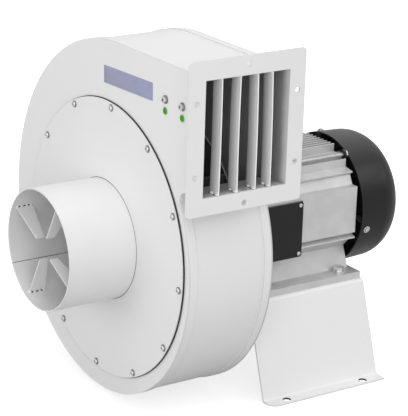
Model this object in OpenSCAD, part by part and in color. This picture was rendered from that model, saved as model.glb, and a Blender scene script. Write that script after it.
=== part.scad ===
// Direct-driven centrifugal fan. A closed impeller turns in a welded sheet-metal scroll,
// on the shaft of a foot-and-flange motor that stands on a folded pedestal.
// X points out of the outlet, Y runs along the shaft from the inlet to the motor, Z is up.
// The origin is the centre of the inlet spigot's mouth.

/* [Inlet] */
// Outer radius of the inlet spigot
spigot_r = 100; // [92:1:106]
// Length of the spigot ahead of the cover
spigot_len = 122; // [90:1:180]
// Wall of the spigot tube
spigot_wall = 2; // [1.5:0.5:3]
// Radius of the round inlet cover
cover_r = 231.5; // [228:0.5:236]
// Thickness of the inlet cover
cover_t = 2; // [1.5:0.5:4]
// Thickness of the gasket under the cover
gasket_t = 3; // [2:0.5:5]
// Width of the gasket ring
gasket_w = 19; // [16:1:20]
// Number of screws round the cover
cover_screw_n = 12; // [8:1:16]
// Turn of the first cover screw from the outlet side
cover_screw_turn = -4.4; // [-15:0.1:15]
// Thread radius of the cover screws
cover_screw_r = 3; // [2.5:0.5:4]
// Number of blades in the inlet guard
guard_n = 4; // [3:1:6]
// Depth of a guard blade at the tube's wall
guard_root = 30; // [20:1:40]
// Depth of a guard blade at its tip
guard_tip = 15; // [8:1:20]
// Thickness of a guard blade
guard_t = 2; // [1.5:0.5:4]
// Radius left open between the guard's tips
guard_core_r = 24; // [15:1:40]
// Distance of the guard behind the spigot's mouth
guard_setback = 9; // [5:1:40]
// Turn of the first guard blade above the outlet side
guard_turn = 63; // [45:1:75]

/* [Casing] */
// Depth between the outer faces of the two side plates
casing_depth = 157.5; // [150:0.5:170]
// Growth of the scroll's radius beyond the cover's, on the outlet side
scroll_margin = 28.5; // [26:0.5:38]
// Sideways offset of the small scroll centre from the shaft
scroll_x = -15.5; // [-18:0.5:-10]
// Height of the small scroll centre above the shaft
scroll_z = -6; // [-10:0.5:-2]
// Growth of the scroll's radius at the bottom
scroll_grow_low = 20; // [10:1:26]
// Growth of the scroll's radius at the far side
scroll_grow_side = 36; // [24:1:44]
// Height of the outlet duct's underside above the shaft
duct_floor = 139.5; // [130:0.5:150]
// Radius of the tongue between the scroll and the duct's underside
tongue_r = 16; // [10:1:20]
// Distance of the outlet face from the shaft
outlet_x = 270.5; // [262:0.5:320]
// Sheet of the side plates
plate_t = 2; // [1.5:0.5:3]
// Depth of the side plates' folded rim
rim_depth = 16; // [10:1:25]
// Sheet of the scroll wrapper
wrapper_t = 2; // [1.5:0.5:3]
// Overlap of the cover past the edge of the service opening
service_lap = 23.5; // [22:0.5:26]

/* [Outlet] */
// Width of the flange beyond the duct
flange_w = 27; // [22:1:40]
// Width of the flange below the duct
flange_low_w = 24; // [20:1:40]
// Thickness of the outlet flange
flange_t = 4; // [3:0.5:6]
// Rounding of the flange's corners
flange_corner = 6; // [2:1:10]
// Radius of the flange's bolt holes
flange_hole_r = 4.5; // [3:0.5:6]
// Height between the two holes on each side of the flange
side_hole_pitch = 114; // [90:1:140]
// Number of guard vanes in the outlet
vane_n = 4; // [2:1:4]
// Distance of the first vane from the front plate
vane_first = 33.5; // [20:0.5:36]
// Distance from one vane to the next
vane_pitch = 31; // [24:0.5:34]
// Depth of a vane along the duct
vane_depth = 23; // [18:1:36]
// Sheet of the vanes
vane_t = 2; // [1.5:0.5:3]

/* [Casing fittings] */
// Distance of the outer fitting from the shaft towards the outlet
fitting_x = 213; // [205:1:220]
// Distance between the two fittings
fitting_pitch = 47; // [35:1:60]
// Drop of the fitting screws below the casing's top
fitting_drop = 57; // [45:1:68]
// Drop from a fitting screw to its green plug
plug_drop = 18; // [17:1:26]
// Radius of a green plug
plug_r = 6; // [4:0.5:8]

/* [Impeller] */
// Outer radius of the impeller
impeller_r = 195; // [180:1:200]
// Width of the impeller at its rim
rim_width = 62; // [50:1:70]
// Number of blades
blade_n = 10; // [7:1:12]
// Sheet of the blades
blade_t = 2.5; // [2:0.5:4]
// Radius at which the blades begin
blade_in_r = 108; // [104:1:115]
// Angle of a blade to the tangent where it begins
blade_in_angle = 30; // [26:1:34]
// Angle of a blade to the tangent at the rim
blade_out_angle = 50; // [44:1:56]
// Inner radius of the impeller's eye
eye_r = 96; // [92:1:98]
// Length of the eye's collar
eye_len = 10; // [8:1:14]
// Drop of the shroud from the eye to the rim
shroud_drop = 24; // [16:1:30]
// Sheet of the shroud
shroud_t = 2.5; // [2:0.5:3]
// Thickness of the back plate
back_t = 3; // [2:0.5:5]
// Radial gap between the inlet nozzle and the eye
nozzle_gap = 3; // [2:0.5:4]
// Distance from the back plate to the casing's rear plate
back_gap = 24; // [20:1:28]
// Radius of the hub's boss
boss_r = 34; // [28:1:38]
// Radius of the hub's flange
hub_flange_r = 65; // [60:1:80]
// Thickness of the hub's flange
hub_flange_t = 8; // [6:1:10]
// Number of rivets through the hub's flange
hub_rivet_n = 6; // [4:1:8]

/* [Motor] */
// Length of the spacer ring between the casing and the motor
spacer_len = 40.5; // [38:0.5:50]
// Radius of the motor's drive shaft
shaft_r = 14; // [12:0.5:16]
// Length of shaft ahead of the motor's flange
shaft_len = 60; // [56:1:64]
// Radius of the motor's flange
motor_flange_r = 125; // [120:1:135]
// Thickness of the motor's flange
motor_flange_t = 14; // [10:1:16]
// Radius of the flange's locating step
register_r = 90; // [85:1:92]
// Length of the flange's locating step
register_len = 4; // [3:0.5:5]
// Radius of the circle of flange bolts
flange_bolt_circle = 107.5; // [104:0.5:110]
// Thread radius of the flange bolts
flange_bolt_r = 6; // [5:0.5:7]
// Length from the motor's flange face to the finned frame
shield_len = 27; // [25:1:34]
// Length of the finned frame
frame_len = 207; // [200:1:240]
// Bore radius of the frame
frame_bore_r = 85; // [83:0.5:86]
// Half width of the frame between its side pads
pad_x = 106; // [106:0.5:109]
// Height of the frame's top below the fins
frame_top = 94; // [93:0.5:98]
// Height of the cooling fins' tips above the shaft
fin_tip = 107.5; // [102:0.5:110]
// Number of cooling fins on top
fin_n = 8; // [4:1:10]
// Distance from fin to fin
fin_pitch = 10; // [7:0.5:10]
// Thickness of a cooling fin
fin_t = 3; // [2:0.5:4]
// Sideways distance of the tie bolts from the shaft
tie_x = 60.5; // [59:0.5:62]
// Height of the tie bolts above the shaft
tie_z = 94.5; // [93:0.5:96]
// Radius of the tie bolts
tie_r = 3.5; // [3:0.5:4.5]
// Length of the stator's core
core_len = 130; // [110:1:140]
// Radius of the rotor
rotor_r = 48.5; // [42:0.5:50]
// Gap between the rotor and the stator
air_gap = 0.5; // [0.4:0.1:0.8]

/* [Bearings] */
// Bore radius of the bearings
bearing_bore_r = 15; // [14:0.5:16]
// Outer radius of the bearings
bearing_r = 31; // [30:0.5:33]
// Width of a bearing
bearing_w = 16; // [14:1:16]
// Number of balls in a bearing
ball_n = 9; // [7:1:9]
// Radius of a ball
ball_r = 4.7; // [4:0.1:5]

/* [Fan cowl] */
// Outer radius of the cowl's open rim
cowl_r = 115; // [115:0.5:120]
// Length of the cowl
cowl_len = 100; // [98:1:120]
// Radius of the cowl's rear shoulder
cowl_shoulder = 50; // [35:1:52]
// Narrowing of the cowl towards its shoulder
cowl_taper = 2; // [0:0.5:3]
// Wall of the cowl
cowl_wall = 2.5; // [2:0.5:3]
// Gap between the frame's end and the cowl's rim
cowl_gap = 8; // [8:0.5:12]
// Turn of the first cowl screw from the outlet side
cowl_screw_turn = -14.7; // [-30:0.1:10]
// Radius of the cooling fan
cooler_r = 94; // [85:1:96]
// Number of paddles on the cooling fan
paddle_n = 8; // [6:1:10]

/* [Terminal box] */
// Length of the terminal box
tbox_len = 91; // [88:1:110]
// Height of the terminal box
tbox_h = 97; // [90:1:100]
// Height of the terminal box's centre above the shaft
tbox_z = -5.5; // [-8:0.5:-3]
// Depth of the box, sunk into the frame's side
tbox_depth = 19; // [18:0.5:19.5]
// Height of the box's rim above the frame's side
tbox_proud = 1.5; // [1:0.5:3]
// Wall of the box
tbox_wall = 3.5; // [2.5:0.5:4]
// Thickness of the cover
tcover_t = 2.5; // [2:0.5:4]

/* [Feet and pedestal] */
// Height of the shaft above the motor's feet
shaft_height = 112; // [110:0.5:116]
// Thickness of a foot
foot_t = 12; // [10:0.5:13]
// Half width across the feet
foot_x = 119; // [116:0.5:122]
// Distance of the feet's front ends behind the frame's front
foot_setback = 8; // [6:1:12]
// Length of a foot's plate past the frame's end
foot_overhang = 6; // [0:1:6]
// Sideways distance of the foot bolts from the shaft
foot_bolt_x = 101; // [100:0.5:105]
// Distance of the rear foot bolts ahead of the frame's end
foot_bolt_inset = 27; // [20:1:34]
// Distance between the foot bolts along the shaft
foot_bolt_pitch = 159; // [140:1:160]
// Thread radius of the foot bolts
foot_bolt_r = 5; // [4:0.5:6]
// Height of the pedestal
pedestal_h = 160; // [158:1:220]
// Half width of the pedestal's top
pedestal_top_x = 125; // [123:1:135]
// Half width of the pedestal where its legs meet the floor flanges
pedestal_foot_x = 176; // [150:1:190]
// Width of a floor flange
pedestal_flange_w = 23; // [20:1:40]
// Distance of the pedestal's front edge behind the face of the motor's flange
pedestal_setback = 4; // [2:1:8]
// Length of the pedestal past the frame's end
pedestal_tail = 8; // [4:1:10]
// Sheet of the pedestal
pedestal_t = 3; // [2.5:0.5:5]
// Bend radius of the pedestal's folds
pedestal_bend = 6; // [5:0.5:10]
// Rounding of the floor flanges' front corners
pedestal_corner = 18; // [6:1:20]
// Radius of the floor bolt holes
floor_hole_r = 7; // [5:0.5:8]
// Distance between the floor holes along the shaft
floor_hole_pitch = 160; // [120:1:180]

/* [Hidden] */
$fn = 96;
// Overshoot of a cutting solid past the face it cuts
cut = 1;

// Stations along the shaft
cover_y = spigot_len;
gasket_y = cover_y + cover_t;
front_y = gasket_y + gasket_t;
rear_y = front_y + casing_depth;
motor_y = rear_y + spacer_len;
frame_y = motor_y + shield_len;
frame_end = frame_y + frame_len;
core_y = frame_y + (frame_len - core_len) / 2;
cowl_y = frame_end + cowl_gap;
cowl_end = cowl_y + cowl_len;

// Scroll: three arcs that share tangents, and the heights they lead to
scroll_r = cover_r + scroll_margin;
service_r = cover_r - service_lap;
low_r = scroll_r + scroll_grow_low;
side_r = low_r + scroll_grow_side;
low_c = [scroll_x, scroll_z + scroll_grow_low];
side_c = [scroll_x + scroll_grow_side, low_c[1]];
scroll_top = side_c[1] + side_r;
tongue_bite = 0.6;
tongue_z = duct_floor - tongue_r + tongue_bite;
tongue_reach = scroll_r + tongue_r - tongue_bite;
tongue_x = scroll_x + sqrt(pow(tongue_reach, 2) - pow(tongue_z - scroll_z, 2));
duct_in_low = duct_floor + plate_t + wrapper_t;
duct_in_top = scroll_top - plate_t - wrapper_t;
duct_in_y = front_y + plate_t;
duct_in_depth = casing_depth - 2 * plate_t;

// Impeller stations and the arc of a blade
back_y = rear_y - plate_t - back_gap - back_t;
rim_y = back_y - rim_width;
throat_y = rim_y - shroud_drop;
eye_y = throat_y - eye_len;
nozzle_end = eye_y + eye_len - 2;
arc_r = (impeller_r * impeller_r - blade_in_r * blade_in_r)
    / (2 * (impeller_r * cos(blade_out_angle) - blade_in_r * cos(blade_in_angle)));
arc_e = sqrt(arc_r * arc_r + blade_in_r * blade_in_r - 2 * arc_r * blade_in_r * cos(blade_in_angle));
hub_end = motor_y - register_len - 1;
shaft_tip = motor_y - shaft_len;

// Cover screws sit in the middle of the gasket
screw_circle = cover_r - gasket_w * 0.4;
cover_washer_t = 1.2;
cover_head_t = 2.8;
rivet_nut_r = cover_screw_r + 1.5;
rivet_nut_len = 9;
rivet_lip = 1.5;
rivet_lip_t = 2;

// Fittings on the front plate
fitting_z = scroll_top - fitting_drop;
fitting_r = 4;
fitting_flats = 13;
fitting_head_t = 5.5;
fitting_nut_t = 6.5;
fitting_washer_t = 1.6;
plug_rim_t = 1.2;
plug_stem_r = plug_r - 2;
vane_inset = 1;

// Bearings
bearing_inset = 6;
front_bearing_y = motor_y + bearing_inset;
rear_bearing_y = frame_end - 4;
ball_circle = (bearing_bore_r + bearing_r) / 2;
groove_r = ball_r + 0.3;

// End shields: the spigots that enter the frame, the bearing seats and the rear rim
spigot_in = 6;
spigot_wall_t = 7;
seat_wall = 9;
rear_shield_t = 18;
rear_rim_r = frame_bore_r + 14;
flange_nut_t = 10;
flange_nut_y = motor_y + motor_flange_t;

// End windings: a packed ring ahead of each end of the stator's core
winding_w = 20;
winding_len = 18;
winding_gap = 8.5;
winding_r = rotor_r + winding_gap + winding_w / 2;

// Tie bolts, with heads that end short of the cowl
tie_circle = norm([tie_x, tie_z]);
tie_turn = atan2(tie_z, tie_x);
tie_tip_y = motor_y + 4;
tie_lug_t = 3.5;
tie_head_t = cowl_gap - tie_lug_t - 0.5;

// Cooling fan
cooler_y = frame_end + 34;
cooler_len = 30;
clip_t = 1.5;
cooler_disc_t = 3;
cooler_seat_r = bearing_bore_r - 2.5;

// Pads on the rear shield that carry the cowl, and the seats of its screws
cowl_pad_r = cowl_r - cowl_wall - 1;
cowl_screw_y = frame_end + 21;
cowl_seat_r = frame_bore_r + 12;

// Terminal box, let into the frame's side on the outlet side
tbox_x0 = pad_x + tbox_proud - tbox_depth;
tbox_y0 = frame_y;
tbox_z0 = tbox_z - tbox_h / 2;
tbox_face = tbox_x0 + tbox_depth;
tscrew_inset = 6;
tscrew_r = 2;
tscrew_len = 12;
tscrew_head_r = 3.8;
tscrew_head_t = 2.2;
gland_r = 4.5;
gland_nut_r = gland_r + 2.5;
gland_x = tbox_x0 + (tbox_wall + tbox_depth) / 2;
gland_y = tbox_y0 + 2 * tscrew_inset + gland_nut_r + 1;
stud_len = 7;
tblock_t = 7;
tblock_len = 42;
tblock_h = 50;
tblock_y = tbox_y0 + tbox_len - tbox_wall - tblock_len - 8;

// Feet and pedestal: the root is where a foot's web meets the frame
foot_root = [76, -64];
foot_web_x = foot_bolt_x - 21;
foot_pad_x = foot_bolt_x - 45;
foot_tail = 3;
feet_z = -shaft_height;
foot_end = frame_end;
foot_len = frame_len - foot_setback;
foot_bolt_mid = frame_end - foot_bolt_inset - foot_bolt_pitch / 2;
floor_z = feet_z - pedestal_h;
pedestal_y = motor_y + pedestal_setback;
pedestal_len = frame_end + pedestal_tail - pedestal_y;
flange_clear = 3;
pedestal_x = pedestal_foot_x + pedestal_flange_w;
leg_slope = (pedestal_foot_x - pedestal_top_x) / (pedestal_h - pedestal_t);
leg_t = pedestal_t * sqrt(1 + leg_slope * leg_slope);
washer_t = 2;
foot_nut_t = 8;
foot_nut_z = feet_z - pedestal_t - washer_t - foot_nut_t;

// A flat outline in X and Z, drawn out along the shaft
module along_y(y0, len) {
    translate([0, y0 + len, 0])
        rotate([90, 0, 0])
            linear_extrude(len)
                children();
}

// A profile of radius and station, turned about the shaft
module turned() {
    rotate([-90, 0, 0])
        rotate_extrude()
            children();
}

// A round bar along the shaft
module bar(r, y0, len) {
    translate([0, y0, 0])
        rotate([-90, 0, 0])
            cylinder(r = r, h = len);
}

// Copies round the shaft, the first one turned up from the outlet side
module round_shaft(n, first = 0) {
    for (i = [0:n - 1])
        rotate([0, -first - i * 360 / n, 0])
            children();
}

// Hexagon bar along the shaft, from its width across flats
module hex_bar(flats, y0, len) {
    translate([0, y0, 0])
        rotate([-90, 0, 0])
            cylinder(r = flats / sqrt(3), h = len, $fn = 6);
}

// Points that round the corner at p between its neighbours a and b
function rounded(a, p, b, r, n = 4) =
    let (
        u = (a - p) / norm(a - p),
        v = (b - p) / norm(b - p),
        half = acos(u * v) / 2,
        mid = (u + v) / norm(u + v),
        c = p + mid * r / sin(half),
        first = p + u * r / tan(half) - c,
        last = p + v * r / tan(half) - c
    )
    [for (i = [0:n]) let (w = first * (n - i) / n + last * i / n) c + w * r / norm(w)];

// A rectangle with rounded corners
module round_rect(w, h, r) {
    translate([r, 0])
        square([w - 2 * r, h]);
    translate([0, r])
        square([w, h - 2 * r]);
    for (x = [r, w - r], z = [r, h - r])
        translate([x, z])
            circle(r);
}

// The scroll seen from the inlet, drawn inside its outline by inset, up to x_end
module scroll_outline(inset, x_end) {
    big = 2 * side_r;
    intersection() {
        translate(side_c)
            circle(side_r - inset);
        translate([side_c[0] - big, side_c[1]])
            square([big + cut, big]);
    }
    intersection() {
        translate(low_c)
            circle(low_r - inset);
        translate([low_c[0] - big, low_c[1] - big])
            square([big, big + cut]);
    }
    intersection() {
        translate([scroll_x, scroll_z])
            circle(scroll_r - inset);
        translate([scroll_x - cut, scroll_z - big])
            square([big, 2 * big]);
    }
    translate([side_c[0], duct_floor + inset])
        square([x_end - side_c[0], scroll_top - duct_floor - 2 * inset]);
    difference() {
        polygon([
            [scroll_x, scroll_z],
            [tongue_x, tongue_z],
            [tongue_x, duct_floor + inset + cut],
            [scroll_x, duct_floor + inset + cut]
        ]);
        translate([tongue_x, tongue_z])
            circle(tongue_r + inset);
    }
}

module cover_screw_places() {
    round_shaft(cover_screw_n, cover_screw_turn)
        translate([screw_circle, 0, 0])
            children();
}

module flange_bolt_places() {
    round_shaft(4, 45)
        translate([flange_bolt_circle, 0, 0])
            children();
}

module inlet_spigot() {
    color("whitesmoke")
        turned()
            translate([spigot_r - spigot_wall, 0])
                square([spigot_wall, spigot_len]);
}

module inlet_guard() {
    tube_r = spigot_r - spigot_wall;
    root_r = sqrt(tube_r * tube_r - guard_t * guard_t / 4);
    color("whitesmoke")
        round_shaft(guard_n, guard_turn)
            translate([0, 0, -guard_t / 2])
                linear_extrude(guard_t)
                    polygon([
                        [guard_core_r, guard_setback],
                        [root_r, guard_setback],
                        [root_r, guard_setback + guard_root],
                        [guard_core_r, guard_setback + guard_tip]
                    ]);
}

module inlet_cover() {
    color("whitesmoke")
        difference() {
            bar(cover_r, cover_y, cover_t);
            bar(spigot_r - spigot_wall, cover_y - cut, cover_t + 2 * cut);
            cover_screw_places()
                bar(cover_screw_r, cover_y - cut, cover_t + 2 * cut);
        }
}

module cover_gasket() {
    color("black")
        difference() {
            bar(cover_r - 0.5, gasket_y, gasket_t);
            bar(cover_r - 0.5 - gasket_w, gasket_y - cut, gasket_t + 2 * cut);
            cover_screw_places()
                bar(cover_screw_r, gasket_y - cut, gasket_t + 2 * cut);
        }
}

module cover_screws() {
    head_y = cover_y - cover_washer_t - cover_head_t;
    color("silver")
        cover_screw_places() {
            bar(cover_screw_r, cover_y - cut, cut + cover_t + gasket_t + rivet_nut_len);
            bar(cover_screw_r * 2, cover_y - cover_washer_t, cover_washer_t);
            hex_bar(cover_screw_r * 3.2, head_y, cover_head_t + cover_washer_t / 2);
        }
}

module cover_rivet_nuts() {
    color("silver")
        cover_screw_places()
            difference() {
                union() {
                    bar(rivet_nut_r, front_y, plate_t + rivet_nut_len);
                    bar(rivet_nut_r + rivet_lip, front_y + plate_t, rivet_lip_t);
                }
                bar(cover_screw_r, front_y - cut, plate_t + rivet_nut_len + 2 * cut);
            }
}

module inlet_nozzle() {
    big_r = spigot_r - spigot_wall;
    throat_r = eye_r - nozzle_gap - wrapper_t;
    bell = nozzle_end - gasket_y - 14;
    inner = [for (i = [0:8]) [
        throat_r + (big_r - throat_r) * pow(1 - sin(i * 11.25), 2),
        gasket_y + bell * i / 8
    ]];
    outer = [for (i = [8:-1:1]) inner[i] + [wrapper_t, 0]];
    color("silver")
        turned()
            polygon(concat(
                inner,
                [[throat_r, nozzle_end], [throat_r + wrapper_t, nozzle_end]],
                outer,
                [
                    [outer[7][0], gasket_y + wrapper_t],
                    [big_r + 24, gasket_y + wrapper_t],
                    [big_r + 24, gasket_y]
                ]
            ));
}

// A side plate with its rim folded over the wrapper
module side_plate(plate_y) {
    along_y(plate_y, plate_t)
        scroll_outline(0, outlet_x - flange_t);
}

// Edge strip that laps the wrapper and is seamed to a side plate
module edge_strip(strip_y) {
    color("whitesmoke")
        along_y(strip_y, rim_depth - plate_t)
            difference() {
                scroll_outline(0, outlet_x - flange_t);
                scroll_outline(plate_t, outlet_x);
            }
}

module front_edge_strip() {
    edge_strip(front_y + plate_t);
}

module rear_edge_strip() {
    edge_strip(rear_y - rim_depth);
}

module front_plate() {
    color("whitesmoke")
        difference() {
            side_plate(front_y);
            bar(service_r, front_y - cut, plate_t + 2 * cut);
            cover_screw_places()
                bar(rivet_nut_r, front_y - cut, plate_t + 2 * cut);
            fitting_places(fitting_z)
                bar(fitting_r, front_y - cut, plate_t + 2 * cut);
            fitting_places(fitting_z - plug_drop)
                bar(plug_stem_r, front_y - cut, plate_t + 2 * cut);
        }
}

module rear_plate() {
    color("whitesmoke")
        difference() {
            side_plate(rear_y - plate_t);
            bar(boss_r + 8, rear_y - plate_t - cut, plate_t + 2 * cut);
            flange_bolt_places()
                bar(flange_bolt_r, rear_y - plate_t - cut, plate_t + 2 * cut);
        }
}

module scroll_wrapper() {
    color("whitesmoke")
        along_y(duct_in_y, duct_in_depth)
            difference() {
                scroll_outline(plate_t, outlet_x - flange_t);
                scroll_outline(plate_t + wrapper_t, outlet_x);
            }
}

module outlet_flange() {
    out_low = duct_floor - flange_low_w;
    out_h = scroll_top - duct_floor + flange_w + flange_low_w;
    out_depth = casing_depth + 2 * flange_w;
    mid_y = front_y + casing_depth / 2;
    mid_z = (duct_floor + scroll_top) / 2;
    color("whitesmoke")
        difference() {
            translate([outlet_x - flange_t, front_y - flange_w, out_low])
                rotate([90, 0, 90])
                    linear_extrude(flange_t)
                        round_rect(out_depth, out_h, flange_corner);
            translate([outlet_x - flange_t - cut, duct_in_y, duct_in_low])
                cube([flange_t + 2 * cut, duct_in_depth, duct_in_top - duct_in_low]);
            for (y = [front_y - flange_w / 2, rear_y + flange_w / 2], s = [-0.5, 0.5])
                flange_hole(y, mid_z + s * side_hole_pitch);
            for (z = [duct_floor - flange_w / 2, scroll_top + flange_w / 2])
                flange_hole(mid_y, z);
        }
}

module flange_hole(y, z) {
    translate([outlet_x - flange_t - cut, y, z])
        rotate([0, 90, 0])
            cylinder(r = flange_hole_r, h = flange_t + 2 * cut);
}

module outlet_vanes() {
    vane_x = outlet_x - vane_inset - vane_depth;
    color("whitesmoke")
        for (i = [0:vane_n - 1])
            translate([vane_x, front_y + vane_first + i * vane_pitch, duct_in_low])
                cube([vane_depth, vane_t, duct_in_top - duct_in_low]);
}

module fitting_places(z) {
    for (i = [0, 1])
        translate([fitting_x - i * fitting_pitch, 0, z])
            children();
}

module fitting_screws() {
    head_y = front_y - fitting_washer_t - fitting_head_t;
    color("silver")
        fitting_places(fitting_z) {
            bar(fitting_r, front_y - cut, cut + plate_t + fitting_nut_t + 2);
            bar(fitting_r * 2.25, front_y - fitting_washer_t, fitting_washer_t);
            hex_bar(fitting_flats, head_y, fitting_head_t + cut);
            hex_bar(fitting_flats, front_y + plate_t, fitting_nut_t);
        }
}

module green_plugs() {
    color("limegreen")
        fitting_places(fitting_z - plug_drop) {
            bar(plug_r, front_y - plug_rim_t, plug_rim_t);
            bar(plug_r - 1.5, front_y - 2 * plug_rim_t, 1.5 * plug_rim_t);
            bar(plug_stem_r, front_y - plug_rim_t / 2, plate_t + 3);
        }
}

module impeller_back_plate() {
    color("gray")
        difference() {
            bar(impeller_r, back_y, back_t);
            bar(boss_r - 4, back_y - cut, back_t + 2 * cut);
            hub_rivet_places()
                bar(4, back_y - cut, back_t + 2 * cut);
        }
}

// Front edge of the passage between the shroud and the back plate, at radius r
function shroud_y(r) = throat_y + shroud_drop * (r - eye_r) / (impeller_r - eye_r);

module blade_strip() {
    intersection() {
        translate([arc_e, 0])
            difference() {
                circle(arc_r + blade_t / 2, $fn = 360);
                circle(arc_r - blade_t / 2, $fn = 360);
            }
        difference() {
            circle(impeller_r);
            circle(blade_in_r);
        }
        translate([-impeller_r, -impeller_r])
            square([2 * impeller_r, impeller_r]);
    }
}

module impeller_blades() {
    color("gray")
        intersection() {
            round_shaft(blade_n)
                along_y(throat_y, back_y - throat_y)
                    blade_strip();
            turned()
                polygon([
                    [blade_in_r - cut, shroud_y(blade_in_r - cut)],
                    [impeller_r + cut, shroud_y(impeller_r + cut)],
                    [impeller_r + cut, back_y],
                    [blade_in_r - cut, back_y]
                ]);
        }
}

module impeller_shroud() {
    outer_r = eye_r + shroud_t;
    color("gray")
        turned()
            polygon(concat(
                [[eye_r, eye_y]],
                rounded([eye_r, eye_y], [eye_r, throat_y], [impeller_r, rim_y], 8),
                [[impeller_r, rim_y], [impeller_r, rim_y - shroud_t]],
                rounded(
                    [impeller_r, rim_y - shroud_t],
                    [outer_r, shroud_y(outer_r) - shroud_t],
                    [outer_r, eye_y],
                    8 - shroud_t
                ),
                [[outer_r, eye_y]]
            ));
}

module hub_rivet_places() {
    round_shaft(hub_rivet_n, 30)
        translate([(boss_r + hub_flange_r) / 2, 0, 0])
            children();
}

module impeller_hub() {
    flange_y = back_y + back_t;
    color("dimgray")
        difference() {
            union() {
                bar(boss_r - 4, back_y, back_t);
                bar(hub_flange_r, flange_y, hub_flange_t);
                bar(boss_r, flange_y, hub_end - flange_y);
            }
            bar(shaft_r, back_y - cut, hub_end - back_y + 2 * cut);
            key_block(back_y - cut, hub_end - back_y + 2 * cut);
            hub_rivet_places()
                bar(4, flange_y - cut, hub_flange_t + 2 * cut);
        }
}

module hub_rivets() {
    color("silver")
        hub_rivet_places() {
            bar(4, back_y, back_t + hub_flange_t);
            bar(6.5, back_y - 3, 3);
            bar(6.5, back_y + back_t + hub_flange_t, 3);
        }
}

module hub_washer() {
    color("silver")
        difference() {
            bar(shaft_r + 10, back_y - 5, 5);
            bar(5, back_y - 5 - cut, 5 + 2 * cut);
        }
}

module hub_bolt() {
    color("silver")
        union() {
            hex_bar(17, back_y - 11.5, 6.5);
            bar(5, back_y - 6, shaft_tip - back_y + 26);
        }
}

module key_block(y0, len) {
    translate([-4, y0, shaft_r - 4])
        cube([8, len, 7]);
}

module shaft() {
    step_r = bearing_bore_r + 4;
    front_end = front_bearing_y + bearing_w;
    color("silver")
        difference() {
            union() {
                bar(shaft_r, shaft_tip, shaft_len);
                bar(bearing_bore_r, motor_y, front_end - motor_y);
                bar(step_r, front_end, rear_bearing_y - front_end);
                bar(bearing_bore_r, rear_bearing_y, bearing_w);
                bar(cooler_seat_r, rear_bearing_y, cooler_y + cooler_len - rear_bearing_y);
            }
            bar(5, shaft_tip - cut, 20 + cut);
            key_block(shaft_tip + 5, shaft_len - 12);
        }
}

module shaft_key() {
    color("silver")
        key_block(shaft_tip + 5, shaft_len - 12);
}

module rotor_core() {
    color("slategray")
        difference() {
            bar(rotor_r, core_y, core_len);
            bar(bearing_bore_r + 4, core_y - cut, core_len + 2 * cut);
        }
}

module rotor_end_rings() {
    color("gainsboro")
        for (y = [core_y - 8, core_y + core_len])
            difference() {
                bar(rotor_r - 2, y, 8);
                bar(rotor_r - 18, y - cut, 8 + 2 * cut);
            }
}

// One race of a bearing, with its groove, at station y
module race(r0, r1, y) {
    difference() {
        bar(r1, y, bearing_w);
        bar(r0, y - cut, bearing_w + 2 * cut);
        turned()
            translate([ball_circle, y + bearing_w / 2])
                circle(groove_r, $fn = 32);
    }
}

module bearing_inner_rings() {
    color("silver")
        for (y = [front_bearing_y, rear_bearing_y])
            race(bearing_bore_r, ball_circle - 2.5, y);
}

module bearing_outer_rings() {
    color("silver")
        for (y = [front_bearing_y, rear_bearing_y])
            race(ball_circle + 2.5, bearing_r, y);
}

module bearing_balls() {
    color("silver")
        for (y = [front_bearing_y, rear_bearing_y])
            round_shaft(ball_n)
                translate([ball_circle, y + bearing_w / 2, 0])
                    sphere(ball_r, $fn = 32);
}

module cooling_fan() {
    color("dimgray")
        difference() {
            union() {
                bar(cooler_seat_r + 8, cooler_y, cooler_len - 2 * clip_t);
                bar(cooler_r, cooler_y, cooler_disc_t);
                round_shaft(paddle_n, 10)
                    translate([cooler_seat_r + 4, cooler_y, -1.5])
                        cube([cooler_r - cooler_seat_r - 4, cooler_len - 6, 3]);
            }
            bar(cooler_seat_r, cooler_y - cut, cooler_len + 2 * cut);
        }
}

module fan_clip() {
    clip_y = cooler_y + cooler_len - 2 * clip_t;
    color("silver")
        difference() {
            bar(cooler_seat_r + 3, clip_y, clip_t);
            bar(cooler_seat_r, clip_y - cut, clip_t + 2 * cut);
        }
}

module spacer_ring() {
    color("silver")
        difference() {
            bar(motor_flange_r, rear_y, spacer_len);
            bar(register_r, rear_y - cut, spacer_len + 2 * cut);
            flange_bolt_places()
                bar(flange_bolt_r, rear_y - cut, spacer_len + 2 * cut);
        }
}

module flange_bolts() {
    bolt_y = rear_y - plate_t;
    head_t = flange_bolt_r * 1.25;
    color("silver")
        flange_bolt_places() {
            bar(flange_bolt_r, bolt_y - cut, flange_nut_y + flange_nut_t + 3 - bolt_y);
            hex_bar(flange_bolt_r * 3, bolt_y - head_t, head_t);
        }
}

module flange_nuts() {
    color("silver")
        flange_bolt_places()
            difference() {
                hex_bar(flange_bolt_r * 3, flange_nut_y, flange_nut_t);
                bar(flange_bolt_r, flange_nut_y - cut, flange_nut_t + 2 * cut);
            }
}

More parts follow.
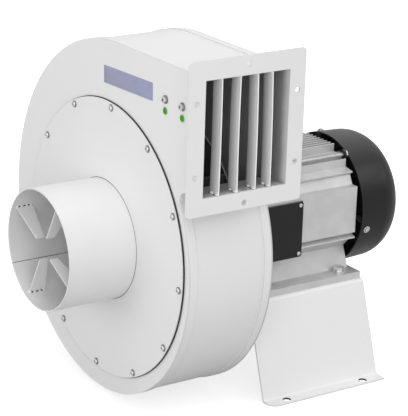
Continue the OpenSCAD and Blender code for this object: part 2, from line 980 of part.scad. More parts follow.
module drive_end_shield() {
    bore = bearing_bore_r + 2;
    neck = flange_bolt_circle - flange_bolt_r * 1.8;
    face_t = motor_flange_t - 2;
    seat_end = bearing_inset + bearing_w + 2;
    color("silver")
        difference() {
            translate([0, motor_y, 0])
                turned()
                    polygon([
                        [bore, 0],
                        [register_r - 10, 0],
                        [register_r - 10, -register_len],
                        [register_r, -register_len],
                        [register_r, 0],
                        [motor_flange_r, 0],
                        [motor_flange_r, motor_flange_t],
                        [neck, motor_flange_t],
                        [neck, shield_len],
                        [frame_bore_r, shield_len],
                        [frame_bore_r, shield_len + spigot_in],
                        [frame_bore_r - spigot_wall_t, shield_len + spigot_in],
                        [frame_bore_r - spigot_wall_t, face_t],
                        [bearing_r + seat_wall, face_t],
                        [bearing_r + seat_wall, seat_end],
                        [bearing_r, seat_end],
                        [bearing_r, bearing_inset],
                        [bore, bearing_inset]
                    ]);
            flange_bolt_places()
                bar(flange_bolt_r, motor_y - cut, motor_flange_t + 2 * cut);
            tie_places()
                bar(tie_r, tie_tip_y, motor_flange_t);
        }
}

module rear_end_shield() {
    bore = cooler_seat_r + 2;
    seat_end = rear_bearing_y + bearing_w - frame_end;
    color("dimgray")
        difference() {
            union() {
                translate([0, frame_end, 0])
                    turned()
                        polygon([
                            [bearing_r, -spigot_in],
                            [bearing_r + seat_wall, -spigot_in],
                            [bearing_r + seat_wall, spigot_in],
                            [frame_bore_r - spigot_wall_t, spigot_in],
                            [frame_bore_r - spigot_wall_t, -spigot_in],
                            [frame_bore_r, -spigot_in],
                            [frame_bore_r, 0],
                            [rear_rim_r, 0],
                            [rear_rim_r, tie_lug_t],
                            [frame_bore_r, rear_shield_t],
                            [bore, rear_shield_t],
                            [bore, seat_end],
                            [bearing_r, seat_end]
                        ]);
                tie_places()
                    bar(tie_r + 4.5, frame_end, tie_lug_t);
                for (a = [tie_turn, 180 - tie_turn, 180 + tie_turn, -tie_turn])
                    rotate([0, -a, 0])
                        translate([frame_bore_r, frame_end, -tie_r * 2])
                            cube([tie_circle - frame_bore_r, tie_lug_t, tie_r * 4]);
                cowl_screw_places()
                    translate([frame_bore_r - 5, -7, -8])
                        cube([cowl_pad_r - frame_bore_r + 5, 14, 16]);
            }
            tie_places()
                bar(tie_r, frame_end - cut, tie_lug_t + 2 * cut);
            cowl_screw_places()
                translate([cowl_seat_r, 0, 0])
                    rotate([0, 90, 0])
                        cylinder(r = 2.5, h = cowl_r);
        }
}

// The four tie bolts, at the corners of a rectangle round the shaft
module tie_places() {
    for (sx = [-1, 1], sz = [-1, 1])
        translate([sx * tie_x, 0, sz * tie_z])
            children();
}

// The outline whose right half is given from top to bottom
function both_sides(half) = concat(half, [for (i = [len(half) - 1:-1:0]) [-half[i][0], half[i][1]]]);

// The right half of the frame's outline, from top to bottom
frame_half = [
    [tie_x - 9, frame_top],
    [tie_x - 7, tie_z + 3.5],
    [tie_x - 5.5, tie_z - 4.5],
    [tie_x + 3.5, tie_z - 8.5],
    [tie_x + 10, tie_z - 4.5],
    [tie_x + 11, 76],
    [90.5, 72.5],
    [90.5, 70.5],
    [84, 66],
    [92, 50],
    [pad_x, 50],
    [pad_x, -32],
    [96, -36],
    [pad_x, -40],
    [pad_x, -42.5],
    [92, -47],
    foot_root,
    foot_root - [16, 16],
    [20, -frame_top],
    [10, -frame_top]
];

module motor_frame() {
    color("silver")
        difference() {
            union() {
                along_y(frame_y, frame_len)
                    polygon(both_sides(frame_half));
                for (i = [0:fin_n - 1])
                    translate([(i - (fin_n - 1) / 2) * fin_pitch - fin_t / 2, frame_y, frame_top - cut])
                        cube([fin_t, frame_len, fin_tip - frame_top + cut]);
            }
            bar(frame_bore_r, frame_y - cut, frame_len + 2 * cut);
            translate([tbox_x0, frame_y - cut, tbox_z0])
                cube([tbox_depth + cut, tbox_y0 + tbox_len - frame_y + cut, tbox_h]);
            lead_hole();
        }
}

// The way for the motor's leads, from the stator's end into the terminal box
module lead_hole() {
    translate([frame_bore_r - 12, core_y - 12, tbox_z])
        rotate([0, 90, 0])
            cylinder(r = 9, h = tbox_x0 + tbox_wall - frame_bore_r + 13);
}

module stator_core() {
    color("slategray")
        difference() {
            bar(frame_bore_r, core_y, core_len);
            bar(rotor_r + air_gap, core_y - cut, core_len + 2 * cut);
        }
}

module stator_windings() {
    front = core_y - winding_len;
    rear = core_y + core_len;
    color("darkgoldenrod")
        for (at = [[front, front], [rear, rear + winding_len]])
            turned() {
                translate([winding_r - winding_w / 2, at[0]])
                    square([winding_w, winding_len]);
                translate([winding_r, at[1]])
                    circle(winding_w / 2, $fn = 32);
            }
}

module tie_bolts() {
    head_y = frame_end + tie_lug_t;
    color("silver")
        tie_places() {
            bar(tie_r, tie_tip_y, head_y + cut - tie_tip_y);
            hex_bar(tie_r * 3.4, head_y, tie_head_t);
        }
}

module fan_cowl() {
    out_r = cowl_r - cowl_taper;
    start = cowl_len - cowl_shoulder;
    ring_w = 7;
    flat_r = out_r - cowl_shoulder;
    color("dimgray")
        difference() {
            translate([0, cowl_y, 0])
                turned()
                    difference() {
                        cowl_profile(cowl_r, out_r, start, cowl_shoulder, cowl_len);
                        cowl_profile(
                            cowl_r - cowl_wall, out_r - cowl_wall, start,
                            cowl_shoulder - cowl_wall, cowl_len - cowl_wall
                        );
                    }
            difference() {
                for (i = [1:3])
                    difference() {
                        bar(flat_r * i / 3 - 4, cowl_end - cowl_wall - cut, cowl_wall + 2 * cut);
                        bar(flat_r * i / 3 - 4 - ring_w, cowl_end - cowl_wall - 2 * cut, cowl_wall + 4 * cut);
                    }
                round_shaft(6, 30)
                    translate([0, cowl_end - 2 * cowl_wall, -3])
                        cube([flat_r + 5, 4 * cowl_wall, 6]);
            }
            cowl_screw_places()
                translate([cowl_r - 10, 0, 0])
                    rotate([0, 90, 0])
                        cylinder(r = 2.5, h = 20);
        }
}

// Cowl seen in half section: radius across, station up
module cowl_profile(rim, body, start, shoulder, len) {
    polygon([[0, 0], [rim, 0], [body, start], [0, start]]);
    square([body - shoulder, len]);
    intersection() {
        translate([body - shoulder, start])
            circle(shoulder);
        translate([0, start])
            square([body, shoulder]);
    }
}

module cowl_screw_places() {
    round_shaft(3, cowl_screw_turn)
        translate([0, cowl_screw_y, 0])
            children();
}

module cowl_screws() {
    color("silver")
        cowl_screw_places()
            translate([cowl_seat_r, 0, 0])
                rotate([0, 90, 0]) {
                    cylinder(r = 2.5, h = cowl_r - cowl_seat_r);
                    translate([0, 0, cowl_r - cowl_seat_r])
                        cylinder(r = 4.5, h = 3);
                }
}

// The corners of the terminal box, each with its own screw
module terminal_corners() {
    for (y = [tscrew_inset, tbox_len - tscrew_inset], z = [tscrew_inset, tbox_h - tscrew_inset])
        translate([tbox_face, tbox_y0 + y, tbox_z0 + z])
            rotate([0, 90, 0])
                children();
}

module terminal_box() {
    inner = 2 * tbox_wall;
    color("dimgray")
        difference() {
            translate([tbox_x0, tbox_y0, tbox_z0])
                cube([tbox_depth, tbox_len, tbox_h]);
            difference() {
                translate([tbox_x0 + tbox_wall, tbox_y0 + tbox_wall, tbox_z0 + tbox_wall])
                    cube([tbox_depth, tbox_len - inner, tbox_h - inner]);
                terminal_corners()
                    translate([-tscrew_inset, -tscrew_inset, -tbox_depth])
                        cube([2 * tscrew_inset, 2 * tscrew_inset, tbox_depth]);
            }
            terminal_corners()
                translate([0, 0, -tscrew_len])
                    cylinder(r = tscrew_r, h = tscrew_len + cut);
            lead_hole();
            translate([gland_x, gland_y, tbox_z0 - cut])
                cylinder(r = gland_r, h = tbox_wall + 2 * cut);
        }
}

module terminal_cover() {
    color("dimgray")
        difference() {
            translate([tbox_face, tbox_y0, tbox_z0])
                rotate([90, 0, 90])
                    linear_extrude(tcover_t)
                        round_rect(tbox_len, tbox_h, 4);
            terminal_corners()
                translate([0, 0, -cut])
                    cylinder(r = tscrew_r, h = tcover_t + 2 * cut);
        }
}

module terminal_screws() {
    color("silver")
        terminal_corners() {
            translate([0, 0, -tscrew_len])
                cylinder(r = tscrew_r, h = tscrew_len + tcover_t);
            translate([0, 0, tcover_t])
                cylinder(r = tscrew_head_r, h = tscrew_head_t);
        }
}

module terminal_block() {
    color("saddlebrown")
        translate([tbox_x0 + tbox_wall, tblock_y, tbox_z - tblock_h / 2])
            cube([tblock_t, tblock_len, tblock_h]);
}

module terminal_studs() {
    stud_x = tbox_x0 + tbox_wall + tblock_t;
    color("gold")
        for (i = [-1:1], s = [-1, 1])
            translate([stud_x, tblock_y + tblock_len / 2 + s * 11, tbox_z + i * 15])
                rotate([0, 90, 0]) {
                    cylinder(r = 2, h = stud_len);
                    cylinder(r = 4.5, h = 3, $fn = 6);
                }
}

module cable_gland() {
    color("dimgray")
        translate([gland_x, gland_y, tbox_z0]) {
            translate([0, 0, -5])
                cylinder(r = gland_nut_r + 0.5, h = 5, $fn = 6);
            translate([0, 0, -15])
                cylinder(r = gland_r + 1, h = 11);
            translate([0, 0, -cut])
                cylinder(r = gland_r, h = tbox_wall + 3);
            translate([0, 0, tbox_wall])
                cylinder(r = gland_nut_r, h = 3, $fn = 6);
        }
}

// One foot on the outlet side: a plate, and the web that rises to the frame
module foot_outline() {
    polygon([
        foot_root,
        [foot_bolt_x - 11, feet_z + foot_t],
        [foot_x, feet_z + foot_t],
        [foot_x, feet_z],
        [foot_pad_x, feet_z],
        [foot_pad_x, feet_z + foot_t - 2],
        [foot_web_x, feet_z + foot_t - 2],
        foot_root - [9, 9]
    ]);
}

module foot_bolt_places(z) {
    for (sx = [-1, 1], sy = [-0.5, 0.5])
        translate([sx * foot_bolt_x, foot_bolt_mid + sy * foot_bolt_pitch, z])
            children();
}

module motor_feet() {
    color("silver")
        difference() {
            for (m = [0, 1])
                mirror([m, 0, 0]) {
                    along_y(foot_end - foot_len, foot_len)
                        foot_outline();
                    along_y(foot_end - cut, foot_overhang + cut)
                        translate([foot_web_x, feet_z])
                            square([foot_x - foot_web_x, foot_t]);
                }
            foot_bolt_places(feet_z - cut)
                cylinder(r = foot_bolt_r, h = foot_t + 2 * cut);
        }
}

module foot_bolts() {
    head_z = feet_z + foot_t + washer_t;
    tip_z = foot_nut_z - foot_tail;
    color("silver") {
        foot_bolt_places(tip_z)
            cylinder(r = foot_bolt_r, h = head_z + cut - tip_z);
        foot_bolt_places(head_z)
            cylinder(r = foot_bolt_r * 1.75, h = foot_bolt_r * 1.3, $fn = 6);
    }
}

module foot_washers() {
    color("silver")
        for (z = [feet_z + foot_t, feet_z - pedestal_t - washer_t])
            foot_bolt_places(z)
                difference() {
                    cylinder(r = foot_bolt_r * 2, h = washer_t);
                    translate([0, 0, -cut])
                        cylinder(r = foot_bolt_r, h = washer_t + 2 * cut);
                }
}

module foot_nuts() {
    color("silver")
        foot_bolt_places(foot_nut_z)
            difference() {
                cylinder(r = foot_bolt_r * 1.85, h = foot_nut_t, $fn = 6);
                translate([0, 0, -cut])
                    cylinder(r = foot_bolt_r, h = foot_nut_t + 2 * cut);
            }
}

// Half of the pedestal's folded section: top, sloping leg and floor flange
function pedestal_half() =
    let (
        sheet_z = feet_z - pedestal_t,
        top_in = [pedestal_top_x + leg_slope * pedestal_t - leg_t, sheet_z],
        top_out = [pedestal_top_x, feet_z],
        low_out = [pedestal_foot_x, floor_z + pedestal_t],
        low_in = [pedestal_foot_x + leg_slope * pedestal_t - leg_t, floor_z],
        tip = [pedestal_x, floor_z]
    )
    concat(
        rounded([0, feet_z], top_out, low_out, pedestal_bend),
        rounded(top_out, low_out, [pedestal_x, floor_z + pedestal_t], pedestal_bend - pedestal_t),
        [[pedestal_x, floor_z + pedestal_t], tip],
        rounded(tip, low_in, top_in, pedestal_bend),
        rounded(low_in, top_in, [0, sheet_z], pedestal_bend - pedestal_t)
    );

module pedestal() {
    notch = flange_nut_y + flange_clear - pedestal_y;
    color("whitesmoke")
        difference() {
            along_y(pedestal_y, pedestal_len)
                polygon(both_sides(pedestal_half()));
            for (m = [0, 1])
                mirror([m, 0, 0])
                    translate([pedestal_x, pedestal_y, floor_z - cut])
                        corner_cut(pedestal_corner, pedestal_t + 2 * cut);
            bar(motor_flange_r + flange_clear, pedestal_y - cut, notch + cut);
            foot_bolt_places(feet_z - pedestal_t - cut)
                cylinder(r = foot_bolt_r, h = pedestal_t + 2 * cut);
            for (sx = [-1, 1], sy = [-0.5, 0.5])
                translate([
                    sx * (pedestal_x - pedestal_flange_w / 2),
                    pedestal_y + pedestal_len / 2 + sy * floor_hole_pitch,
                    floor_z - cut
                ])
                    cylinder(r = floor_hole_r, h = pedestal_t + 2 * cut);
        }
}

// The waste outside a rounded corner that points to +X and -Y
module corner_cut(r, h) {
    translate([-r, 0, 0])
        difference() {
            translate([0, -cut, 0])
                cube([r + cut, r + cut, h]);
            translate([0, r, -cut])
                cylinder(r = r, h = h + 2 * cut);
        }
}

inlet_spigot();
inlet_guard();
inlet_cover();
cover_gasket();
cover_screws();
cover_rivet_nuts();
inlet_nozzle();
front_plate();
rear_plate();
front_edge_strip();
rear_edge_strip();
scroll_wrapper();
outlet_flange();
outlet_vanes();
fitting_screws();
green_plugs();
impeller_back_plate();
impeller_blades();
impeller_shroud();
impeller_hub();
hub_rivets();
hub_washer();
hub_bolt();
shaft();
shaft_key();
rotor_core();
rotor_end_rings();
bearing_inner_rings();
bearing_outer_rings();
bearing_balls();
cooling_fan();
fan_clip();
spacer_ring();
flange_bolts();
flange_nuts();
drive_end_shield();
rear_end_shield();
motor_frame();
stator_core();
stator_windings();
tie_bolts();
fan_cowl();
cowl_screws();
terminal_box();
terminal_cover();
terminal_screws();
terminal_block();
terminal_studs();
cable_gland();
motor_feet();
foot_bolts();
foot_washers();
foot_nuts();
pedestal();
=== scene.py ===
"""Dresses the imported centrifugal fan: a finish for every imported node, the fine pieces that the
solids leave out, and the stage with its camera. It runs as a script and is laid out as an
add-on."""

import bmesh
import bpy
import numpy as np
from mathutils import Matrix, Vector


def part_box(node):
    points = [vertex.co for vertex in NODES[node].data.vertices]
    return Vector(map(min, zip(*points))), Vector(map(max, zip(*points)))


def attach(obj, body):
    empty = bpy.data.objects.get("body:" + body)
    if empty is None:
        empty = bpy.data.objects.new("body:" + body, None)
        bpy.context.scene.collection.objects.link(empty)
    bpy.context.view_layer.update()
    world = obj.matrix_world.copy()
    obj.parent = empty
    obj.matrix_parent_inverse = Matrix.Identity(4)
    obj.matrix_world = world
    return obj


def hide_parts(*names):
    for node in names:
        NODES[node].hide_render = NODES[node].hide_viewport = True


bl_info = {
    "name": "Centrifugal fan",
    "version": (1, 0, 0),
    "blender": (4, 5, 0),
    "location": "View3D > Sidebar > Fan",
    "description": "Finishes, fittings, welds and stage of a centrifugal fan",
    "category": "Object",
}

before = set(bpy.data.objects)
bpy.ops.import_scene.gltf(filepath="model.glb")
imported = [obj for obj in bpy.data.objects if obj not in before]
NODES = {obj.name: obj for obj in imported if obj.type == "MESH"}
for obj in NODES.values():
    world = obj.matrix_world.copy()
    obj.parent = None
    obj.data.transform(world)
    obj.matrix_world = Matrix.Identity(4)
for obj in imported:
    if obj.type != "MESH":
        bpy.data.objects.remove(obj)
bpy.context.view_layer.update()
MM = 0.001


# Sizes and colours that a user would change

class FanSizes(bpy.types.PropertyGroup):
    """Sizes of the small pieces."""

    screw_head: bpy.props.FloatProperty(
        name="Screw head", description="Radius of the head of a cover screw",
        default=4.5 * MM, min=3 * MM, max=8 * MM, unit="LENGTH")
    bead: bpy.props.FloatProperty(
        name="Weld bead", description="Half width of a bead; the tube's ground seam keeps 0.42",
        default=1.7 * MM, min=0.5 * MM, max=3 * MM, unit="LENGTH")
    plate: bpy.props.FloatProperty(
        name="Plate", description="Thickness of the bare name plate",
        default=0.6 * MM, min=0.2 * MM, max=1 * MM, unit="LENGTH")
    dome: bpy.props.FloatProperty(
        name="Plug dome", description="Height of the dome of a green plug",
        default=1.3 * MM, min=0.5 * MM, max=1.4 * MM, unit="LENGTH")


class FanColours(bpy.types.PropertyGroup):
    """Colours of the finishes."""

    enamel: bpy.props.FloatVectorProperty(
        name="Enamel", description="White powder coat of the casing and the pedestal",
        subtype="COLOR", size=3, min=0, max=1, default=(0.80, 0.80, 0.80))
    # Painted shade: the dark colour deep inside the duct, where the inside lies in shade
    duct_shade: bpy.props.FloatVectorProperty(
        name="Duct shade", description="Dark primer deep inside the casing",
        subtype="COLOR", size=3, min=0, max=1, default=(0.33, 0.33, 0.33))
    casting: bpy.props.FloatVectorProperty(
        name="Casting", description="Silver-painted aluminium of the motor",
        subtype="COLOR", size=3, min=0, max=1, default=(0.60, 0.60, 0.605))
    black: bpy.props.FloatVectorProperty(
        name="Black", description="Semi-matt black of the cowl and the terminal box",
        subtype="COLOR", size=3, min=0, max=1, default=(0.008, 0.008, 0.0085))
    plate: bpy.props.FloatVectorProperty(
        name="Plate", description="Film of the bare name plate",
        subtype="COLOR", size=3, min=0, max=1, default=(0.285, 0.30, 0.455))
    plug: bpy.props.FloatVectorProperty(
        name="Plug", description="Green plastic of the plugs",
        subtype="COLOR", size=3, min=0, max=1, default=(0.02, 0.25, 0.01))


# Places in the shared frame, in metres. A name that ends in _TURN or _TURNS is in radians

SHEET = 2 * MM
FLOOR_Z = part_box("pedestal")[0].z
FLOOR_HOLES = [(x, y) for x in (-0.1875, 0.1875) for y in (0.368, 0.528)]
FLOOR_HOLE_R = 7 * MM

FRONT_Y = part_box("front_plate")[0].y
REAR_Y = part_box("rear_plate")[1].y
COVER_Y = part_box("inlet_cover")[0].y
COVER_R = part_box("inlet_cover")[1].x
GASKET_T = 3 * MM
SCREW_CIRCLE = 223.9 * MM
SCREW_TURNS = np.radians(-4.4 + 30 * np.arange(12))
IMPELLER_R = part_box("impeller_back_plate")[1].x

SPIGOT_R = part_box("inlet_spigot")[1].x
SPIGOT_IN_R = SPIGOT_R - SHEET
SEAM_TURN = np.radians(-150.2)
GUARD_TURNS = np.radians(63 + 90 * np.arange(4))
GUARD_SLOTS = ((13, 2.6), (23.3, 3.2), (30.7, 2.4))  # depth in the tube and half length, mm
GUARD_WELDS = (10, 18, 27, 35.5)  # depth in the tube, mm

FITTING_X = (0.213, 0.166)
FITTING_SCREW_Z = 0.273
FITTING_PLUG_Z = 0.255
PLATE_SIZE = (143.4 * MM, 28.6 * MM)
PLATE_X, PLATE_Z = 57.9 * MM, 274 * MM
PLATE_TURN = np.radians(1.6)

FLANGE_BACK_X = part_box("outlet_flange")[0].x
DUCT_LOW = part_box("outlet_vanes")[0].z
DUCT_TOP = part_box("outlet_vanes")[1].z
DUCT_MIDDLE = (0.100, 0.2055, 0.200)  # a point that every inner face of the duct looks at
DUCT_SHADE_X = (0.250, 0.265)  # the painted shade inside the duct fades out between these
FLOOR_BLOTCH_Z = (0.1425, 0.150)  # and the darker blotches on the duct's floor between these
VANE_BACK_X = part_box("outlet_vanes")[0].x
VANE_FRONT_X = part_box("outlet_vanes")[1].x
VANE_Y = (160.5 + 31 * np.arange(4)) * MM
VANE_BENDS = ((-2.8, -2.3, 0.6), (0.0, 0.2, -0.7), (2.4, 0.9, 0.8), (-0.9, -3.4, 0.9))  # mm
RIM_LAP = 16 * MM  # from a side plate's outer face to its edge strip's inner edge

COWL_SCREW_R = 115 * MM
COWL_SCREW_TURNS = np.radians(-14.7 + 120 * np.arange(3))
AXIAL = Vector((0, -1, 0))

# The scroll's outline in X and Z, in mm: three centres, their radii, the tongue and the duct

SCROLL_SMALL, SCROLL_LOW, SCROLL_SIDE = (-15.5, -6), (-15.5, 14), (20.5, 14)
SCROLL_RADII = (260, 280, 316)
SCROLL_TOP = SCROLL_SIDE[1] + SCROLL_RADII[2]
DUCT_FLOOR, TONGUE, BITE = 139.5, 16, 0.6

# The camera as it was solved from the photograph, in degrees, metres and pixels, and the lamps

CAMERA_AZIMUTH, CAMERA_HEIGHT, CAMERA_ROLL = 55.51849, 18.51692, 1.80153
CAMERA_TARGET = (-0.206584, 0.459587, -0.064594)
CAMERA_DISTANCE = 3.544476
CAMERA_FOCUS_PX, PHOTO_HEIGHT_PX = 1956.8597, 416
SENSOR_HEIGHT = 36
LAMPS = (  # name, place, size, power
    ("key", (-0.4, -3.1, 0.0), 3.0, 36),
    ("fill", (3.1, -1.7, 1.0), 2.6, 43),
    ("rim", (1.8, 3.2, 2.1), 2.0, 24),
    ("top", (0.2, 0.2, 3.2), 2.2, 28))
LAMPS_LOOK_AT = Vector((0, 0.3, 0))
FLOOR_REACH = 8.0
FLOOR_GREY = 0.45
FLOOR_GLOW = (0.73, 1.0)  # emission towards the camera near the fan, where it keeps the shadow,
FLOOR_GLOW_FROM = (0.55, 1.3)  # and further off, in metres from the frame's origin
FLOOR_MIRRORED = 0.35  # share of that emission which glossy surfaces see
WORLD_LIGHT = 0.68  # the world's strength as a light. The camera sees it at 1


# Surfaces

def quads(rows, cols, wrap_rows=False, wrap_cols=False):
    """Each point of a grid is joined to the next in its row and its column."""
    i = np.arange(rows if wrap_rows else rows - 1)
    j = np.arange(cols if wrap_cols else cols - 1)
    i, j = np.meshgrid(i, j, indexing="ij")
    k = (i + 1) % rows
    m = (j + 1) % cols
    corners = [i * cols + j, k * cols + j, k * cols + m, i * cols + m]
    return np.stack(corners, -1).reshape(-1, 4)


def piece(name, sheets, material, body="housing", crease=40.0):
    """One object from grids of points. A sheet is (points, wrap_rows, wrap_cols)."""
    points, faces, start = [], [], 0
    for grid, wrap_rows, wrap_cols in sheets:
        rows, cols = grid.shape[:2]
        points.append(grid.reshape(-1, 3))
        faces.append(quads(rows, cols, wrap_rows, wrap_cols) + start)
        start += rows * cols
    mesh = bpy.data.meshes.new(name)
    mesh.from_pydata(np.concatenate(points).tolist(), [], np.concatenate(faces).tolist())
    work = bmesh.new()
    work.from_mesh(mesh)
    bmesh.ops.remove_doubles(work, verts=work.verts, dist=1e-6)
    bmesh.ops.recalc_face_normals(work, faces=work.faces)
    work.to_mesh(mesh)
    work.free()
    mesh.polygons.foreach_set("use_smooth", np.ones(len(mesh.polygons), bool))
    mesh.set_sharp_from_angle(angle=np.radians(crease))
    mesh.materials.append(material)
    thing = bpy.data.objects.new(name, mesh)
    bpy.context.scene.collection.objects.link(thing)
    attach(thing, body)
    return thing


def facing(points, seat, axis, turn=0.0):
    """Points drawn round Z are turned about Z, tipped until Z lies along axis, and set on seat."""
    tip = Vector((0, 0, 1)).rotation_difference(Vector(axis)).to_matrix()
    spin = np.array(tip @ Matrix.Rotation(turn, 3, "Z"))
    return points @ spin.T + np.array(seat)


def placed(shape, seat, axis, turn=0.0):
    """A turned shape on its seat, as a sheet whose rings close on themselves."""
    return facing(shape, seat, axis, turn), False, True


def lathe(profile, turns=32):
    """A profile of radius and height turned about Z: (r cos u, r sin u, h)."""
    r, h = np.array(profile, float).T
    u = np.linspace(0, 2 * np.pi, turns, endpoint=False)
    return np.stack([
        r[:, None] * np.cos(u), r[:, None] * np.sin(u), np.repeat(h[:, None], turns, 1)], -1)


def hexagon(flats, height, chamfer, low=0.0):
    """A hexagon head: at angle u its radius is half the flats over cos(u mod 60 - 30 degrees),
    cut back by a cone near the top."""
    sides, steps = 6, 5
    u = np.linspace(0, 2 * np.pi, sides * 8, endpoint=False)
    turn = np.pi / sides
    flat_r = flats / 2 / np.cos((u + turn) % (2 * turn) - turn)
    corner = flats / 2 / np.cos(turn)
    levels = np.concatenate([[low, low], np.linspace(height - chamfer, height, steps), [height]])
    cone = flats / 2 * 0.95 + (height - levels) * (corner - flats / 2) / chamfer * 1.3
    r = np.minimum(flat_r[None, :], cone[:, None])
    r[0] = 0
    r[-1] = 0
    return np.stack([
        r * np.cos(u), r * np.sin(u), np.repeat(levels[:, None], len(u), 1)], -1)


def sweep(path, normals, profile, closed=False):
    """A profile (across, up) carried along a path: point + across * side + up * normal."""
    path = np.array(path, float)
    normals = np.array(normals, float)
    if closed:
        ahead = np.roll(path, -1, 0) - np.roll(path, 1, 0)
    else:
        ahead = np.gradient(path, axis=0)
    ahead /= np.linalg.norm(ahead, axis=1)[:, None]
    side = np.cross(ahead, normals)
    across, up = np.array(profile, float).T
    return (path[:, None, :] + across[None, :, None] * side[:, None, :]
            + up[None, :, None] * normals[:, None, :])


def bead_profile(half, rise):
    """Half an ellipse, (half cos t, rise sin t), from one side of a weld to the other, closed
    below the surface."""
    t = np.linspace(0, np.pi, 8)
    arch = np.stack([np.cos(t) * half, np.sin(t) * rise], 1)
    return np.concatenate([arch, [[-half, -0.2 * rise], [half, -0.2 * rise]]])


def rippled(grid, middle, scales, depth):
    """A weld's scales: each ring of the bead swells and shrinks with a sine along the path."""
    wave = 1 + depth * np.sin(np.linspace(0, 2 * np.pi * scales, grid.shape[0]))
    return middle[:, None, :] + (grid - middle[:, None, :]) * wave[:, None, None]


def capped(grid):
    """A tube's two ends drawn in to their middle points, so the piece is closed."""
    first = np.repeat(grid[:1].mean(1, keepdims=True), grid.shape[1], 1)
    last = np.repeat(grid[-1:].mean(1, keepdims=True), grid.shape[1], 1)
    return np.concatenate([first, grid, last])


def blob(middle, radii, limit=np.inf):
    """An ellipsoid: middle + (a cos u cos v, b sin u cos v, c sin v), with x at most limit."""
    v = np.linspace(-np.pi / 2, np.pi / 2, 7)[:, None]
    u = np.linspace(0, 2 * np.pi, 12, endpoint=False)[None, :]
    ball = np.stack([np.cos(u) * np.cos(v), np.sin(u) * np.cos(v), np.sin(v) + 0 * u], -1)
    grid = ball * np.array(radii) + np.array(middle)
    grid[..., 0] = np.minimum(grid[..., 0], limit)
    return grid


def round_plate(width, height, corner):
    """Outline of a rectangle with round corners, as (across, up) points: each corner is its
    middle + radius (cos t, sin t)."""
    t = np.linspace(0, np.pi / 2, 6)
    quarter = np.stack([np.cos(t), np.sin(t)], 1) * corner
    out = []
    for k, (sx, sy) in enumerate([(1, 1), (-1, 1), (-1, -1), (1, -1)]):
        a = k * np.pi / 2
        turn = np.array([[np.cos(a), -np.sin(a)], [np.sin(a), np.cos(a)]])
        middle = np.array([sx * (width / 2 - corner), sy * (height / 2 - corner)])
        out.append(quarter @ turn.T + middle)
    return np.concatenate(out)


def scroll_path(inset):
    """The casing's outline in X and Z, in mm, drawn in by inset: duct floor, tongue, three arcs
    and duct top. Each arc is its centre + radius (cos a, sin a). Returns points and outward
    normals."""
    step = 4.0
    small = np.array(SCROLL_SMALL)
    reach = SCROLL_RADII[0] + TONGUE - BITE
    tongue_z = DUCT_FLOOR - TONGUE + BITE
    tongue = np.array([small[0] + np.sqrt(reach ** 2 - (tongue_z - small[1]) ** 2), tongue_z])
    meet = np.arctan2(*(tongue - small)[::-1])
    end = FLANGE_BACK_X / MM
    points, normals = [], []

    def line(a, b, out):
        """Points from a to b, a (1 - t) + b t."""
        n = max(2, int(np.linalg.norm(np.subtract(b, a)) / step))
        t = np.linspace(0, 1, n, endpoint=False)[:, None]
        points.append(np.array(a) * (1 - t) + np.array(b) * t)
        normals.append(np.repeat([out], n, 0))

    def arc(centre, r, first, last, sign=1):
        """Points round a centre. sign is -1 where the casing lies outside the arc."""
        n = max(8, int(abs(last - first) * r / step))
        a = np.linspace(first, last, n, endpoint=False)
        ray = np.stack([np.cos(a), np.sin(a)], 1)
        points.append(np.array(centre) + ray * r)
        normals.append(ray * sign)

    line((end, DUCT_FLOOR + inset), (tongue[0], DUCT_FLOOR + inset), (0, -1))
    arc(tongue, TONGUE + inset, np.pi / 2, np.pi + meet, -1)
    arc(small, SCROLL_RADII[0] - inset, meet, -np.pi / 2)
    arc(SCROLL_LOW, SCROLL_RADII[1] - inset, -np.pi / 2, -np.pi)
    arc(SCROLL_SIDE, SCROLL_RADII[2] - inset, np.pi, np.pi / 2)
    line((SCROLL_SIDE[0], SCROLL_TOP - inset), (end, SCROLL_TOP - inset), (0, 1))
    return np.concatenate(points), np.concatenate(normals)


# Finishes

NOISE_RANGE = (0.3, 0.7)  # most of a noise lies between these
SHADE_EDGE_NOISE = (-4 * MM, 4 * MM)  # how far a noise moves the edge of the painted shade inside the duct and on the vanes


class Wiring:
    """Nodes in one tree, and sums on their sockets."""

    def __init__(self, tree):
        self.tree = tree

    def node(self, kind, **values):
        """A new node with its settings."""
        made = self.tree.nodes.new(kind)
        for key, value in values.items():
            setattr(made, key, value)
        return made

    def join(self, a, b):
        """Socket a leads into socket b."""
        self.tree.links.new(a, b)

    def feed(self, socket, value):
        """A value, or another socket's, goes into a socket."""
        if isinstance(value, bpy.types.NodeSocket):
            self.join(value, socket)
        else:
            socket.default_value = value

    def math(self, operation, a, b=0.0):
        """A sum of two numbers, or of one."""
        made = self.node("ShaderNodeMath", operation=operation)
        self.feed(made.inputs[0], a)
        self.feed(made.inputs[1], b)
        return made.outputs[0]

    def vector(self, operation, *parts):
        """The outputs of a sum of vectors."""
        made = self.node("ShaderNodeVectorMath", operation=operation)
        for socket, part in zip(made.inputs, parts):
            self.feed(socket, part)
        return made.outputs

    def axes(self, vector):
        """The X, Y and Z of a vector."""
        split = self.node("ShaderNodeSeparateXYZ")
        self.join(vector, split.inputs[0])
        return split.outputs

    def spread(self, factor, low, high, start=0.0, end=1.0):
        """A factor between start and end becomes a value between low and high."""
        made = self.node("ShaderNodeMapRange")
        self.join(factor, made.inputs["Value"])
        made.inputs["From Min"].default_value = start
        made.inputs["From Max"].default_value = end
        made.inputs["To Min"].default_value = low
        made.inputs["To Max"].default_value = high
        return made.outputs["Result"]


